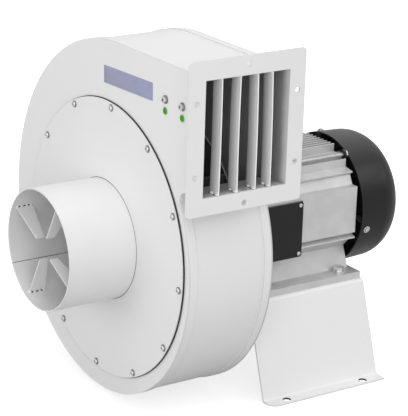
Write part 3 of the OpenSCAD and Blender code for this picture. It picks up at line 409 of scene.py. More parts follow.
class Finish(Wiring):
    """A material in the making. Patterns read Object coordinates and end in one shader."""

    def __init__(self, name, colour, rough, metal=0.0, edge=0.0):
        self.material = bpy.data.materials.new(name)
        self.material.use_nodes = True
        super().__init__(self.material.node_tree)
        self.shader = self.tree.nodes["Principled BSDF"]
        self.shader.inputs["Roughness"].default_value = rough
        self.shader.inputs["Metallic"].default_value = metal
        self.material.diffuse_color = (*colour, 1)
        self.base = tuple(colour)
        self.colour = None
        self.normal = None
        coord = self.node("ShaderNodeTexCoord")
        self.where = coord.outputs["Object"]
        self.outward = coord.outputs["Normal"]
        if edge:
            self.bevel = self.node("ShaderNodeBevel")
            self.bevel.samples = 6
            self.bevel.inputs["Radius"].default_value = edge
            self.normal = self.bevel.outputs["Normal"]

    def noise(self, size, detail=3.0, stretch=(1, 1, 1)):
        """Noise whose blots are about size across, longer along the axes in stretch."""
        mapping = self.node("ShaderNodeMapping")
        self.join(self.where, mapping.inputs["Vector"])
        mapping.inputs["Scale"].default_value = tuple(1 / s for s in stretch)
        made = self.node("ShaderNodeTexNoise")
        made.inputs["Scale"].default_value = 1 / size
        made.inputs["Detail"].default_value = detail
        self.join(mapping.outputs["Vector"], made.inputs["Vector"])
        return made.outputs["Fac"]

    def blend(self, factor, first, second):
        """A colour between first and second."""
        made = self.node("ShaderNodeMix", data_type="RGBA")
        self.feed(made.inputs["Factor"], factor)
        for socket, value in ((made.inputs[6], first), (made.inputs[7], second)):
            self.feed(socket, value if isinstance(value, bpy.types.NodeSocket) else (*value, 1))
        return made.outputs[2]

    def mottle(self, size, low, high, stretch=(1, 1, 1)):
        """Large soft patches that darken or lighten the colour."""
        factor = self.spread(self.noise(size, stretch=stretch), 0, 1, *NOISE_RANGE)
        dark = tuple(c * low for c in self.base)
        light = tuple(min(1, c * high) for c in self.base)
        self.colour = self.blend(factor, dark, light)

    def tint(self, factor, colour):
        """Colour painted over the rest where factor is 1."""
        self.colour = self.blend(factor, self.colour, colour)

    def bump(self, factor, height, strength=1.0):
        """Relief: factor times height."""
        made = self.node("ShaderNodeBump")
        made.inputs["Distance"].default_value = height
        made.inputs["Strength"].default_value = strength
        self.join(factor, made.inputs["Height"])
        if self.normal is not None:
            self.join(self.normal, made.inputs["Normal"])
        self.normal = made.outputs["Normal"]

    def rough(self, factor, low, high):
        """Roughness that goes from low to high with a noise."""
        self.join(self.spread(factor, low, high, *NOISE_RANGE), self.shader.inputs["Roughness"])

    def done(self):
        """The material, with its colour and its normals led into the shader."""
        self.join(self.colour, self.shader.inputs["Base Color"])
        if self.normal is not None:
            self.join(self.normal, self.shader.inputs["Normal"])
        return self.material


def colours():
    """The colours that a user may change."""
    return bpy.context.scene.fan_colours


def enamel(name="enamel", edge=1.2 * MM, shape=None, colour=None):
    """Powder coat: faint orange peel and soft patches. shape may turn the normals first."""
    f = Finish(name, colour or colours().enamel, 0.34, edge=edge)
    if shape:
        shape(f)
    f.mottle(0.18, 0.985, 1.01)
    f.rough(f.noise(0.05), 0.30, 0.40)
    f.bump(f.noise(1.6 * MM, 2), 0.05 * MM, 0.35)
    return f


def soft_fold(f):
    """Round the casing's folds over the joint of plate and strip: on the outline's walls the
    normal is n + w sign(y) Y, made unit, and w grows from 0 to 1.3 over the last 4 mm."""
    middle = (FRONT_Y + REAR_Y) / 2
    fold = REAR_Y - middle
    off = f.math("SUBTRACT", f.axes(f.where)["Y"], middle)
    out = f.math("ABSOLUTE", off)
    f.join(f.spread(out, 0.6 * MM, 0, fold - 8 * MM, fold - 6 * MM), f.bevel.inputs["Radius"])
    wall = f.math("SUBTRACT", 1.0, f.math("ABSOLUTE", f.axes(f.outward)["Y"]))
    lean = f.math("MULTIPLY", f.spread(out, 0, 1.3, fold - 4 * MM, fold), f.math("SIGN", off))
    turn = f.node("ShaderNodeCombineXYZ")
    f.join(f.math("MULTIPLY", lean, wall), turn.inputs["Y"])
    both = f.vector("ADD", f.normal, turn.outputs["Vector"])
    f.normal = f.vector("NORMALIZE", both["Vector"])["Vector"]


def casing_enamel():
    """Enamel outside and in the mouth of the duct; deeper inside, a dark colour painted as the
    shade that falls there. A point is inside where its normal looks back to a point in the duct."""
    f = enamel("casing_enamel", 0.6 * MM, soft_fold)
    away = f.vector("SUBTRACT", f.where, DUCT_MIDDLE)
    look = f.vector("DOT_PRODUCT", f.outward, away["Vector"])
    inside = f.math("LESS_THAN", look["Value"], 0.0)
    place = f.axes(f.where)
    ragged = f.math("ADD", place["X"], f.spread(f.noise(0.03), *SHADE_EDGE_NOISE))
    deep = f.spread(ragged, 1, 0, *DUCT_SHADE_X)
    # Painted shade: dark colour deep inside the duct
    f.tint(f.math("MULTIPLY", inside, deep), colours().duct_shade)
    # darker blotches on the inner face of the duct's floor, near its bottom
    low = f.spread(place["Z"], 1, 0, *FLOOR_BLOTCH_Z)
    floor_blotches = f.spread(f.noise(0.012, 3), 0.35, 1.0, 0.35, 0.6)
    f.tint(f.math("MULTIPLY", f.math("MULTIPLY", inside, low), floor_blotches), (0.34, 0.34, 0.33))
    return f.done()


def vane_enamel_light_and_shade():
    """Enamel on the outlet's vanes, in a lighter copy as painted light, and darker towards their
    inner edges as painted shade.
    """
    # A lighter copy of the enamel: painted light on the vanes
    f = enamel("vane_enamel_light_and_shade", 0.5 * MM, colour=(0.93, 0.93, 0.925))
    ragged = f.math(
        "ADD", f.axes(f.where)["X"], f.spread(f.noise(0.02, stretch=(1, 1, 5)), *SHADE_EDGE_NOISE))
    # Painted shade: darker towards the vanes' inner edges, deep in the duct
    f.tint(f.spread(ragged, 0.85, 0, VANE_BACK_X, VANE_BACK_X + 19 * MM), (0.30, 0.30, 0.30))
    return f.done()


def casting():
    """Blasted and silver-painted casting: a fine grain, with cloudy patches."""
    f = Finish("casting", colours().casting, 0.42, 0.45, edge=0.7 * MM)
    f.mottle(0.03, 0.94, 1.04)
    f.rough(f.noise(0.02), 0.36, 0.50)
    f.bump(f.noise(0.9 * MM, 4), 0.12 * MM, 0.45)
    return f.done()


def black_paint():
    """Semi-matt black, lighter as the surface turns upwards: a painted highlight from the light
    above.
    """
    f = Finish("black_paint", colours().black, 0.38, edge=0.8 * MM)
    f.shader.inputs["Specular IOR Level"].default_value = 0.28
    f.mottle(0.06, 0.88, 1.15)
    # Painted highlight: lighter where the surface faces up, as the top light falls on it
    f.tint(f.spread(f.axes(f.outward)["Z"], 0, 1, 0.70, 1.02), (0.075, 0.075, 0.075))
    f.rough(f.noise(0.03), 0.33, 0.45)
    f.bump(f.noise(1.0 * MM, 3), 0.08 * MM, 0.4)
    return f.done()


def zinc(name="zinc", colour=(0.70, 0.71, 0.72), rough=0.28):
    """Bright zinc plate: cloudy, with fine turning marks."""
    f = Finish(name, colour, rough, 0.9, edge=0.4 * MM)
    f.mottle(0.006, 0.85, 1.08)
    f.rough(f.noise(0.004), rough - 0.06, rough + 0.12)
    f.bump(f.noise(0.5 * MM, 3), 0.03 * MM, 0.4)
    return f.done()


def turned_steel():
    """Turned steel: marks that run along the shaft's turn."""
    f = Finish("turned_steel", (0.46, 0.46, 0.47), 0.30, 0.95, edge=0.4 * MM)
    f.mottle(0.01, 0.9, 1.05)
    f.bump(f.noise(0.6 * MM, 2, (8, 1, 8)), 0.03 * MM, 0.5)
    return f.done()


def galvanised():
    """Zinc spangle: cells of slightly different grey."""
    f = Finish("galvanised", (0.42, 0.43, 0.44), 0.42, 0.75)
    cells = f.node("ShaderNodeTexVoronoi")
    cells.inputs["Scale"].default_value = 1 / (9 * MM)
    f.join(f.where, cells.inputs["Vector"])
    grey = f.node("ShaderNodeRGBToBW")
    f.join(cells.outputs["Color"], grey.inputs[0])
    f.colour = f.blend(grey.outputs[0], (0.33, 0.34, 0.35), (0.52, 0.53, 0.54))
    f.rough(f.noise(0.02), 0.36, 0.5)
    return f.done()


def rubber():
    """Black rubber with a fine grain."""
    f = Finish("gasket_rubber", (0.018, 0.018, 0.018), 0.8)
    f.mottle(0.01, 0.8, 1.4)
    f.bump(f.noise(0.5 * MM, 3), 0.1 * MM, 0.6)
    return f.done()


def dip_paint(name="dip_paint", light_rim_r=None):
    """Dark paint, lighter on a round plate's rim, where x x + z z nears the square of light_rim_r."""
    f = Finish(name, (0.085, 0.086, 0.089), 0.48, edge=0.6 * MM)
    f.mottle(0.05, 0.8, 1.25)
    if light_rim_r:
        place = f.axes(f.where)
        squares = [f.math("MULTIPLY", place[k], place[k]) for k in "XZ"]
        reach = f.math("SQRT", f.math("ADD", *squares))
        # lighter along the plate's rim
        f.tint(f.spread(reach, 0, 1, light_rim_r - 0.8 * MM, light_rim_r - 0.3 * MM), (0.40, 0.40, 0.40))
    f.bump(f.noise(2 * MM, 2), 0.1 * MM, 0.4)
    return f.done()


def iron():
    """Raw cast iron."""
    f = Finish("hub_iron", (0.10, 0.10, 0.105), 0.5, 0.8)
    f.mottle(0.01, 0.75, 1.2)
    f.bump(f.noise(1 * MM, 4), 0.15 * MM, 0.6)
    return f.done()


def laminations():
    """Stacked sheets: fine dark lines across the shaft."""
    f = Finish("laminations", (0.20, 0.20, 0.21), 0.5, 0.7)
    lines = f.math("SINE", f.math("MULTIPLY", f.axes(f.where)["Y"], 2 * np.pi / MM))
    f.colour = f.blend(f.spread(lines, 0, 1, -1, 1), (0.13, 0.13, 0.14), (0.26, 0.26, 0.27))
    f.bump(lines, 0.1 * MM, 0.5)
    return f.done()


def windings():
    """Varnished copper wire, wound round the shaft's axis."""
    f = Finish("windings", (0.33, 0.11, 0.035), 0.35, 0.3)
    f.mottle(0.004, 0.6, 1.3, stretch=(6, 1, 6))
    f.bump(f.noise(1.1 * MM, 2, (10, 1, 10)), 0.5 * MM, 0.8)
    return f.done()


def plastic(name, colour, rough):
    """Moulded plastic with a faint grain."""
    f = Finish(name, colour, rough)
    f.mottle(0.008, 0.92, 1.08)
    f.bump(f.noise(0.4 * MM, 3), 0.04 * MM, 0.4)
    return f.done()


def plate_film():
    """Lavender film on a metal plate: a soft brushed grain under a clear coat."""
    f = Finish("plate_film", colours().plate, 0.4)
    f.mottle(0.02, 0.96, 1.04)
    f.bump(f.noise(0.8 * MM, 2, (12, 1, 1)), 0.02 * MM, 0.3)
    f.shader.inputs["Coat Weight"].default_value = 0.4
    f.shader.inputs["Coat Roughness"].default_value = 0.2
    return f.done()


def dark_gap():
    """Near black: painted shade inside narrow slots and holes."""
    f = Finish("dark_gap", (0.02, 0.02, 0.02), 0.9)
    f.mottle(0.004, 0.7, 1.3)
    return f.done()


def seam_shade(name="seam_shade", colour=(0.25, 0.25, 0.25)):
    """The line of a closed seam: grey, painted as the shade along the seam."""
    f = Finish(name, colour, 0.6)
    f.mottle(0.01, 0.8, 1.2)
    return f.done()


MATERIALS = {}


def finish_of(key):
    """A finish that the first operator made."""
    return MATERIALS[key]


DRESS = {
    "enamel": ["inlet_spigot", "inlet_guard", "inlet_cover", "outlet_flange", "outlet_vanes",
               "pedestal"],
    "casing": ["front_plate", "rear_plate", "front_edge_strip", "rear_edge_strip",
               "scroll_wrapper"],
    "rubber": ["cover_gasket"],
    "zinc": ["cover_screws", "cover_rivet_nuts", "fitting_screws", "flange_bolts", "flange_nuts",
             "cowl_screws", "terminal_screws", "foot_bolts", "foot_washers", "foot_nuts"],
    "galvanised": ["inlet_nozzle"],
    "rod": ["tie_bolts"],
    "green": ["green_plugs"],
    "dip_paint": ["impeller_blades"],
    "light_rim_paint": ["impeller_back_plate", "impeller_shroud"],
    "iron": ["impeller_hub"],
    "steel": ["hub_rivets", "hub_washer", "hub_bolt", "shaft", "shaft_key", "fan_clip"],
    "ground": ["bearing_inner_rings", "bearing_outer_rings", "bearing_balls"],
    "laminations": ["rotor_core", "stator_core"],
    "windings": ["stator_windings"],
    "casting": ["spacer_ring", "drive_end_shield", "motor_frame", "motor_feet", "rotor_end_rings"],
    "black_paint": ["rear_end_shield", "fan_cowl", "terminal_box", "terminal_cover"],
    "black_plastic": ["cooling_fan", "cable_gland"],
    "brown": ["terminal_block"],
    "brass": ["terminal_studs"],
}


# Operators

class FAN_OT_finishes(bpy.types.Operator):
    """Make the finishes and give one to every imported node."""
    bl_idname = "fan.finishes"
    bl_label = "Finishes"

    def execute(self, context):
        made = {
            "enamel": enamel().done(),
            "casing": casing_enamel(),
            "rubber": rubber(),
            "zinc": zinc(),
            "galvanised": galvanised(),
            "green": plastic("green_plastic", colours().plug, 0.35),
            "lime": plastic("lime_plastic", (0.20, 0.50, 0.03), 0.35),
            "vane": vane_enamel_light_and_shade(),
            "dip_paint": dip_paint(),
            "light_rim_paint": dip_paint("light_rim_paint", IMPELLER_R),
            "iron": iron(),
            "steel": turned_steel(),
            "ground": zinc("ground_steel", (0.70, 0.70, 0.71), 0.16),
            "laminations": laminations(),
            "windings": windings(),
            "casting": casting(),
            "black_paint": black_paint(),
            "black_plastic": plastic("black_plastic", (0.025, 0.025, 0.027), 0.45),
            "brown": plastic("brown_plastic", (0.045, 0.020, 0.012), 0.4),
            "brass": zinc("brass", (0.62, 0.42, 0.14), 0.25),
            "plate": plate_film(),
            "gap": dark_gap(),
            "seam": seam_shade(),
            "shadow": seam_shade("shadow_line", (0.10, 0.10, 0.10)),
            # a darker copy of the zinc: painted shade round the screw heads
            "ring": zinc("shaded_washer_zinc", (0.27, 0.27, 0.275), 0.40),
            "rod": zinc("rod_zinc", (0.55, 0.55, 0.56), 0.45),
        }
        MATERIALS.update(made)
        for key, nodes in DRESS.items():
            for node in nodes:
                slots = NODES[node].material_slots
                if not slots:
                    NODES[node].data.materials.append(made[key])
                for slot in slots:
                    slot.material = made[key]
        missed = set(NODES) - {n for nodes in DRESS.values() for n in nodes}
        if missed:
            raise RuntimeError("no finish for " + ", ".join(sorted(missed)))
        return {"FINISHED"}


class FAN_OT_spigot_welds(bpy.types.Operator):
    """Lay the tube's lap seam, inside and outside, and the dark line at its root."""
    bl_idname = "fan.spigot_welds"
    bl_label = "Spigot welds"

    def execute(self, context):
        bead = context.scene.fan_sizes.bead
        y = np.linspace(0.4 * MM, COVER_Y - 0.4 * MM, 60)
        along = np.stack([0 * y, y, 0 * y], 1)
        sheets = []
        out = np.array([np.cos(SEAM_TURN), 0, np.sin(SEAM_TURN)])
        for r, sign in ((SPIGOT_IN_R, -1), (SPIGOT_R, 1)):
            normals = np.repeat(out[None] * sign, len(y), 0)
            strip = sweep(out * r + along, normals, bead_profile(bead * 0.42, 0.25 * MM))
            sheets.append((capped(strip), False, True))
        # the seam's grey line is painted shade
        piece("spigot_seam", sheets, finish_of("seam"))
        u = np.linspace(0, 2 * np.pi, 360, endpoint=False)
        ring = np.stack([np.cos(u), 0 * u, np.sin(u)], 1)
        path = ring * (SPIGOT_R + 0.1 * MM) + [0, COVER_Y - 0.05 * MM, 0]
        front = np.repeat([[0.0, -1.0, 0.0]], len(u), 0)
        line = sweep(path, front, bead_profile(0.75 * MM, 0.12 * MM), closed=True)
        piece("spigot_root_line", [(line, True, True)], finish_of("shadow"))
        return {"FINISHED"}


class FAN_OT_guard_tabs(bpy.types.Operator):
    """Add the welds where the inlet guard's fins meet the tube, and dark ellipsoids there as
    painted shade inside their slots.
    """
    bl_idname = "fan.guard_tabs"
    bl_label = "Guard tabs"

    def execute(self, context):
        slots = [self.spot(turn, y, side * 1.9, 0.25, (1.5, long, 0.6))
                 for turn in GUARD_TURNS for y, long in GUARD_SLOTS for side in (-1, 1)]
        welds = [self.spot(turn, y, side * 1.6, 0.4, (2.0, 2.3, 1.7))
                 for turn in GUARD_TURNS for y in GUARD_WELDS for side in (-1, 1)]
        # dark ellipsoids sunk in the wall: painted shade inside the tab slots
        piece("guard_slots", slots, finish_of("gap"))
        piece("guard_welds", welds, finish_of("enamel"))
        return {"FINISHED"}

    def spot(self, turn, depth, aside, inset, radii):
        """A small ellipsoid sunk by inset in the tube's wall, aside of a fin's middle plane. Its
        radii lie across the fin, along the tube and outwards, all in mm."""
        out = np.array([np.cos(turn), 0, np.sin(turn)])
        across = np.array([-np.sin(turn), 0, np.cos(turn)])
        middle = out * (SPIGOT_IN_R - inset * MM) + across * aside * MM + [0, depth * MM, 0]
        ball = blob((0, 0, 0), np.array(radii) * MM)
        return ball @ np.stack([across, [0, 1, 0], out]) + middle, False, True


class FAN_OT_cover_screws(bpy.types.Operator):
    """Set twelve domed socket screws with washers on the inlet cover, and the gasket's lip, which
    also stands in as painted shade under the cover's edge.
    """
    bl_idname = "fan.cover_screws"
    bl_label = "Cover screws"

    def execute(self, context):
        r = context.scene.fan_sizes.screw_head
        rim = r * 1.3
        washer = lathe([
            (0, 0), (rim - 0.2 * MM, 0), (rim, 0.2 * MM), (rim, 0.9 * MM),
            (rim - 0.3 * MM, 1.2 * MM), (0, 1.2 * MM)], 40)
        socket = 1.75 * MM
        crown = [
            (socket + (r * 0.96 - socket) * np.cos(a), (1.7 + 1.9 * np.sin(a)) * MM)
            for a in np.linspace(0, np.pi / 2, 9)]
        head = lathe([(0, 1.1 * MM), (r * 0.9, 1.1 * MM)] + crown, 40)
        rings, heads = [], []
        ring = hexagon(socket * 1.75, 3.6 * MM, 0.1 * MM)[2:3]
        floor = ring.copy()
        floor[..., 2] = 2.0 * MM
        pole = np.zeros_like(floor)
        pole[..., 2] = 1.8 * MM
        well = np.concatenate([ring, floor, pole])
        for turn in SCREW_TURNS:
            seat = (SCREW_CIRCLE * np.cos(turn), COVER_Y, SCREW_CIRCLE * np.sin(turn))
            rings.append(placed(washer, seat, AXIAL))
            heads.append(placed(head, seat, AXIAL, turn * 3))
            heads.append(placed(well, seat, AXIAL, turn * 3))
        u = np.linspace(0, 2 * np.pi, 480, endpoint=False)
        ring = np.stack([np.cos(u), 0 * u, np.sin(u)], 1)
        path = ring * (COVER_R - 0.5 * MM) + [0, FRONT_Y - GASKET_T / 2, 0]
        # the lip reaches past the cover's edge: black rubber, and also painted shade under that
        # edge
        lip = sweep(path, ring, bead_profile(GASKET_T / 2 - 0.1 * MM, 1.6 * MM), closed=True)
        piece("gasket_lip", [(lip, True, True)], finish_of("rubber"))
        made = piece("cover_screw_heads", heads, finish_of("zinc"))
        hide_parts("cover_screws")
        # washers in the darker zinc, as painted shade round the heads
        piece("cover_screw_washers", rings, finish_of("ring"))
        return {"FINISHED"}


class FAN_OT_small_screws(bpy.types.Operator):
    """Set the domed screws of the terminal cover and of the cowl, each on a dark ring: darker zinc
    painted as the shade round the head.
    """
    bl_idname = "fan.small_screws"
    bl_label = "Small screws"

    def execute(self, context):
        low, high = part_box("terminal_screws")
        r = 3.8 * MM
        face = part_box("terminal_cover")[1].x
        places = [((face, y, z), (1, 0, 0))
                  for y in (low.y + r, high.y - r) for z in (low.z + r, high.z - r)]
        self.screws("terminal", "terminal_screws", places, r, high.x - face)
        low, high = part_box("cowl_screws")
        middle = (low.y + high.y) / 2
        rays = np.stack(
            [np.cos(COWL_SCREW_TURNS), 0 * COWL_SCREW_TURNS, np.sin(COWL_SCREW_TURNS)], 1)
        places = [(tuple(ray * COWL_SCREW_R + (0, middle, 0)), tuple(ray)) for ray in rays]
        self.screws("cowl", "cowl_screws", places, 4.6 * MM, 3 * MM, washer=6.2 * MM)
        return {"FINISHED"}

    def screws(self, name, node, places, r, h, washer=0.0):
        """Heads of radius r and height h at the places, on washers of that radius if any."""
        base = 1.0 * MM if washer else 0.0
        if washer:
            places = [(tuple(np.array(seat) + np.array(ray) * base), ray) for seat, ray in places]
        ring = lathe([(0, 0), (r, 0), (r, h * 0.25), (r * 0.93, h * 0.4), (0, h * 0.4)], 32)
        t = np.linspace(0, np.pi / 2, 8)[:-1]
        crown = [(r * 0.78 * np.cos(a), h * (0.5 + 0.42 * np.sin(a))) for a in t]
        crown += [(r * 0.3, h * 0.92), (r * 0.26, h * 0.6), (0, h * 0.6)]
        head = lathe([(0, h * 0.3), (r * 0.78, h * 0.3)] + crown, 32)
        sheets = [placed(head, *place) for place in places]
        if washer:
            disc = lathe([
                (0, -base), (washer, -base), (washer, -0.2 * MM), (washer * 0.95, 0), (0, 0)], 32)
            sheets += [placed(disc, *place) for place in places]
        made = piece(name + "_screw_heads", sheets, finish_of("zinc"))
        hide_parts(node)
        # rings in the darker zinc: painted shade round the heads
        piece(name + "_screw_rings", [placed(ring, *place) for place in places],
              finish_of("ring"))


class FAN_OT_fittings(bpy.types.Operator):
    """Set the two hexagon screws, and the green plugs under them, on the front plate."""
    bl_idname = "fan.fittings"
    bl_label = "Fittings"

    def execute(self, context):
        rings, screws, sockets, plugs, rims = [], [], [], [], []
        washer = lathe([
            (0, 0), (6.6 * MM, 0), (6.8 * MM, 0.3 * MM), (6.8 * MM, 1.3 * MM),
            (6.5 * MM, 1.6 * MM), (0, 1.6 * MM)], 40)
        head = hexagon(9 * MM, 5.6 * MM, 1.2 * MM, low=1.5 * MM)
        nut = hexagon(13 * MM, 6.5 * MM, 1.2 * MM)
        tip = lathe([(0, 0), (4 * MM, 0), (4 * MM, 7.4 * MM), (3.4 * MM, 8 * MM), (0, 8 * MM)], 24)
        dome = context.scene.fan_sizes.dome
        t = np.linspace(0, np.pi / 2, 8)
        crown = [(4.3 * MM * np.cos(a), 1.0 * MM + dome * np.sin(a)) for a in t]
        rim = lathe([
            (3.6 * MM, 0), (5.7 * MM, 0), (6 * MM, 0.3 * MM), (6 * MM, 0.9 * MM),
            (5.7 * MM, 1.2 * MM), (4.7 * MM, 1.2 * MM), (4.4 * MM, 0.8 * MM), (3.6 * MM, 0.8 * MM),
            (3.6 * MM, 0)], 40)
        plug = lathe([(0, 0.2 * MM), (4.3 * MM, 0.2 * MM)] + crown, 40)
        socket = lathe([
            (0, 5.2 * MM), (2.4 * MM, 5.2 * MM), (2.4 * MM, 5.75 * MM), (0, 5.75 * MM)], 6)
        for k, x in enumerate(FITTING_X):
            seat = (x, FRONT_Y, FITTING_SCREW_Z)
            back = (x, FRONT_Y + SHEET, FITTING_SCREW_Z)
            below = (x, FRONT_Y, FITTING_PLUG_Z)
            rings.append(placed(washer, seat, AXIAL))
            screws.append(placed(head, seat, AXIAL, 0.3 + k))
            screws.append(placed(nut, back, -AXIAL, 0.2))
            screws.append(placed(tip, back, -AXIAL))
            sockets.append(placed(socket, seat, AXIAL, 0.3 + k))
            plugs.append(placed(plug, below, AXIAL))
            rims.append(placed(rim, below, AXIAL))
        made = piece("fitting_screw_set", screws, finish_of("zinc"), crease=30)
        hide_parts("fitting_screws")
        # washers in the darker zinc, as painted shade round the heads
        piece("fitting_washers", rings, finish_of("ring"))
        piece("fitting_sockets", sockets, finish_of("shadow"), crease=30)
        piece("plug_rims", rims, finish_of("lime"))
        made = piece("plug_domes", plugs, finish_of("green"))
        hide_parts("green_plugs")
        return {"FINISHED"}


class FAN_OT_name_plate(bpy.types.Operator):
    """Fix the bare name plate to the front plate: its outline, raised and closed by its middle."""
    bl_idname = "fan.name_plate"
    bl_label = "Name plate"

    def execute(self, context):
        thick = context.scene.fan_sizes.plate
        outline = round_plate(*PLATE_SIZE, 0.6 * MM)
        cos, sin = np.cos(PLATE_TURN), np.sin(PLATE_TURN)
        spin = np.array([[cos, -sin], [sin, cos]])
        rings = []
        for across, up, rise in (
                (0, 0, 0), (1, 1, 0), (1, 1, 0.7), (0.996, 0.98, 1), (0, 0, 1)):
            flat = outline * (across, up) @ spin.T
            y = np.full(len(flat), FRONT_Y - rise * thick)
            rings.append(np.stack([flat[:, 0] + PLATE_X, y, flat[:, 1] + PLATE_Z], 1))
        piece("name_plate", [(np.array(rings), False, True)], finish_of("plate"))
        return {"FINISHED"}


class FAN_OT_outlet_vanes(bpy.types.Operator):
    """Set the outlet's vanes a little unevenly, as hand-welded sheets stand, with their welds:
    at height t a vane is off its place by low + (top - low) t + bow sin(pi t)."""
    bl_idname = "fan.outlet_vanes"
    bl_label = "Outlet vanes"

    def execute(self, context):
        rng = np.random.default_rng(5)
        sheets, welds, weld_shades = [], [], []
        z = np.linspace(DUCT_LOW, DUCT_TOP, 41)
        t = (z - DUCT_LOW) / (DUCT_TOP - DUCT_LOW)
        bevel = 0.3 * MM
        x = np.array([VANE_BACK_X, VANE_BACK_X, VANE_FRONT_X - bevel, VANE_FRONT_X,
                      VANE_FRONT_X, VANE_FRONT_X - bevel])
        thick = np.array([0, SHEET, SHEET, SHEET - bevel, bevel, 0])
        for y, (low, top, bow) in zip(VANE_Y, VANE_BENDS):
            lean = (low + (top - low) * t + bow * np.sin(np.pi * t)) * MM
            grid = np.stack([
                np.repeat(x[None], len(z), 0), y + lean[:, None] + thick[None],
                np.repeat(z[:, None], len(x), 1)], -1)
            sheets.append((capped(grid), False, True))
            for side in (-0.2, 2.2):
                for place, end in ((DUCT_LOW, 0), (DUCT_TOP, -1)):
                    for at in (0.25, 0.8):
                        middle = (VANE_BACK_X + at * (VANE_FRONT_X - VANE_BACK_X),
                                  y + lean[end] + side * MM, place)
                        size = rng.uniform(0.8, 1.25)
                        radii = np.array([3.8, 2.6, 2.9]) * size * MM
                        welds.append((blob(middle, radii, VANE_FRONT_X), False, True))
                        # flat dark patches round each weld: painted shade where the vane meets the
                        # duct
                        weld_shade_radii = np.array([6.0, 3.6, 0.35]) * size * MM
                        weld_shades.append((blob(middle, weld_shade_radii, VANE_FRONT_X), False, True))
        made = piece("vane_sheets", sheets, finish_of("vane"), crease=30)
        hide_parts("outlet_vanes")
        piece("vane_welds", welds, finish_of("enamel"))
        piece("vane_weld_shades", weld_shades, finish_of("shadow"))
        return {"FINISHED"}


class FAN_OT_casing_seams(bpy.types.Operator):
    """Seal the edge strips to the wrapper, and weld the outlet's flange to the duct."""
    bl_idname = "fan.casing_seams"
    bl_label = "Casing seams"

    def execute(self, context):
        flat, out = scroll_path(1.9)  # the wrapper's outer face, a little sunk
        normals = np.stack([out[:, 0], 0 * out[:, 0], out[:, 1]], 1)
        sheets = []
        for y in (FRONT_Y + RIM_LAP, REAR_Y - RIM_LAP):
            path = np.stack([flat[:, 0] * MM, np.full(len(flat), y), flat[:, 1] * MM], 1)
            strip = sweep(path, normals, bead_profile(1.9 * MM, 1.5 * MM))
            sheets.append((capped(strip), False, True))
        piece("rim_sealant", sheets, finish_of("enamel"))
        low, top = DUCT_FLOOR * MM, SCROLL_TOP * MM
        front, back = FRONT_Y, REAR_Y
        sheets = []
        for a, b, out in (
                ((front, top), (back, top), (0, 0, 1)), ((back, top), (back, low), (0, 1, 0)),
                ((back, low), (front, low), (0, 0, -1)), ((front, low), (front, top), (0, -1, 0))):
            t = np.linspace(0, 1, 90)[:, None]
            line = np.array(a) * (1 - t) + np.array(b) * t
            path = np.column_stack([np.full(len(t), FLANGE_BACK_X), line])
            lean = (np.array(out) + [-1, 0, 0]) / np.sqrt(2)
            weld = sweep(path, np.repeat(lean[None], len(t), 0), bead_profile(1.6 * MM, 1.2 * MM))
            sheets.append((capped(rippled(weld, path, 40, 0.08)), False, True))
        piece("flange_weld", sheets, finish_of("enamel"))
        return {"FINISHED"}


class FAN_OT_hole_shades(bpy.types.Operator):
    """Put dark sleeves in the pedestal's floor holes: painted shade inside the holes."""
    bl_idname = "fan.hole_linings"
    bl_label = "Hole shades"

    def execute(self, context):
        inner, depth = FLOOR_HOLE_R - 0.25 * MM, 2.8 * MM
        shade_sleeve = lathe([
            (inner, 0), (FLOOR_HOLE_R, 0), (FLOOR_HOLE_R, depth), (inner, depth), (inner, 0)], 32)
        sheets = [placed(shade_sleeve, (x, y, FLOOR_Z + 0.1 * MM), (0, 0, 1)) for x, y in FLOOR_HOLES]
        # near-black sleeves: painted shade inside the holes
        piece("hole_linings", sheets, finish_of("gap"))
        return {"FINISHED"}


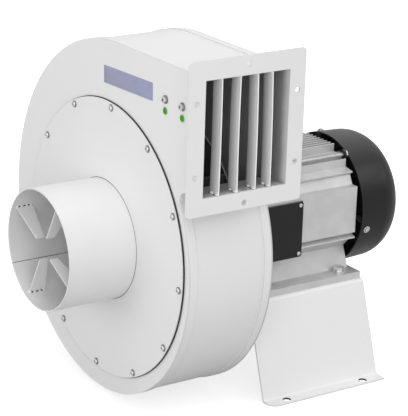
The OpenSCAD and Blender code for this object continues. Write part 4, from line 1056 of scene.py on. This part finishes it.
class FAN_OT_stage(bpy.types.Operator):
    """Set the camera at the photograph's angle, the pale floor and the soft lights."""
    bl_idname = "fan.stage"
    bl_label = "Stage"

    def execute(self, context):
        scene = context.scene
        self.camera(scene)
        self.floor(scene)
        self.world(scene)
        for name, place, size, power in LAMPS:
            data = bpy.data.lights.new(name, "AREA")
            data.shape = "DISK"
            data.size = size
            data.energy = power
            lamp = bpy.data.objects.new(name, data)
            lamp.location = place
            aim = LAMPS_LOOK_AT - Vector(place)
            lamp.rotation_euler = aim.to_track_quat("-Z", "Y").to_euler()
            scene.collection.objects.link(lamp)
        scene.view_settings.view_transform = "Standard"
        return {"FINISHED"}

    def camera(self, scene):
        """The camera looks along minus (sin a cos h, -cos a cos h, sin h), rolled on that line."""
        azimuth, height, roll = np.radians((CAMERA_AZIMUTH, CAMERA_HEIGHT, CAMERA_ROLL))
        back = np.array([
            np.sin(azimuth) * np.cos(height), -np.cos(azimuth) * np.cos(height), np.sin(height)])
        level = np.array([np.cos(azimuth), np.sin(azimuth), 0])
        rise = np.cross(back, level)
        right = level * np.cos(roll) + rise * np.sin(roll)
        up = rise * np.cos(roll) - level * np.sin(roll)
        data = bpy.data.cameras.new("camera")
        data.sensor_fit = "VERTICAL"
        data.sensor_height = SENSOR_HEIGHT
        data.lens = CAMERA_FOCUS_PX * SENSOR_HEIGHT / PHOTO_HEIGHT_PX
        data.clip_end = 50
        camera = bpy.data.objects.new("camera", data)
        place = np.array(CAMERA_TARGET) + back * CAMERA_DISTANCE
        camera.matrix_world = Matrix.Translation(place) @ Matrix(
            np.stack([right, up, back], 1).tolist()).to_4x4()
        scene.collection.objects.link(camera)
        scene.camera = camera

    def floor(self, scene):
        """A pale floor that glows towards the camera, so that only the fan's shadow shows."""
        mesh = bpy.data.meshes.new("floor")
        corners = [(x * FLOOR_REACH, y * FLOOR_REACH, FLOOR_Z)
                   for x, y in ((-1, -1), (1, -1), (1, 1), (-1, 1))]
        mesh.from_pydata(corners, [], [(0, 1, 2, 3)])
        floor = bpy.data.objects.new("floor", mesh)
        scene.collection.objects.link(floor)
        material = bpy.data.materials.new("floor")
        material.use_nodes = True
        w = Wiring(material.node_tree)
        shader = w.tree.nodes["Principled BSDF"]
        shader.inputs["Base Color"].default_value = (FLOOR_GREY, FLOOR_GREY, FLOOR_GREY, 1)
        shader.inputs["Roughness"].default_value = 1
        shader.inputs["Specular IOR Level"].default_value = 0
        shader.inputs["Emission Color"].default_value = (1, 1, 1, 1)
        path = w.node("ShaderNodeLightPath").outputs
        mirrored = w.math("MULTIPLY", path["Is Glossy Ray"], FLOOR_MIRRORED)
        seen = w.math("MAXIMUM", path["Is Camera Ray"], mirrored)
        where = w.node("ShaderNodeTexCoord").outputs["Object"]
        away = w.vector("LENGTH", where)["Value"]
        glow = w.math("MULTIPLY", seen, w.spread(away, *FLOOR_GLOW, *FLOOR_GLOW_FROM))
        w.join(glow, shader.inputs["Emission Strength"])
        mesh.materials.append(material)

    def world(self, scene):
        """White light from all round, at full strength only where the camera looks."""
        world = bpy.data.worlds.new("studio")
        world.use_nodes = True
        w = Wiring(world.node_tree)
        light = w.tree.nodes["Background"]
        light.inputs["Color"].default_value = (1, 1, 1, 1)
        path = w.node("ShaderNodeLightPath").outputs
        seen = w.math("MAXIMUM", path["Is Camera Ray"], path["Is Transmission Ray"])
        w.join(w.spread(seen, WORLD_LIGHT, 1.0), light.inputs["Strength"])
        scene.world = world


STEPS = (
    FAN_OT_finishes, FAN_OT_spigot_welds, FAN_OT_guard_tabs, FAN_OT_cover_screws,
    FAN_OT_small_screws, FAN_OT_fittings, FAN_OT_name_plate, FAN_OT_outlet_vanes,
    FAN_OT_casing_seams, FAN_OT_hole_shades, FAN_OT_stage)


class FAN_PT_sidebar(bpy.types.Panel):
    """Lists the sizes, the colours and the steps."""
    bl_idname = "FAN_PT_sidebar"
    bl_label = "Centrifugal fan"
    bl_space_type = "VIEW_3D"
    bl_region_type = "UI"
    bl_category = "Fan"

    def draw(self, context):
        for group in (context.scene.fan_sizes, context.scene.fan_colours):
            for key in group.bl_rna.properties.keys():
                if key not in ("rna_type", "name"):
                    self.layout.prop(group, key)
        for step in STEPS:
            self.layout.operator(step.bl_idname)


CLASSES = (FanSizes, FanColours) + STEPS + (FAN_PT_sidebar,)


def register():
    """Make the classes and the two property groups known."""
    for kind in CLASSES:
        bpy.utils.register_class(kind)
    bpy.types.Scene.fan_sizes = bpy.props.PointerProperty(type=FanSizes)
    bpy.types.Scene.fan_colours = bpy.props.PointerProperty(type=FanColours)


def unregister():
    """Undo register."""
    del bpy.types.Scene.fan_colours
    del bpy.types.Scene.fan_sizes
    for kind in reversed(CLASSES):
        bpy.utils.unregister_class(kind)


def main():
    """Run every step once."""
    register()
    bpy.ops.fan.finishes()
    bpy.ops.fan.spigot_welds()
    bpy.ops.fan.guard_tabs()
    bpy.ops.fan.cover_screws()
    bpy.ops.fan.small_screws()
    bpy.ops.fan.fittings()
    bpy.ops.fan.name_plate()
    bpy.ops.fan.outlet_vanes()
    bpy.ops.fan.casing_seams()
    bpy.ops.fan.hole_linings()
    bpy.ops.fan.stage()


if __name__ == "__main__":
    main()
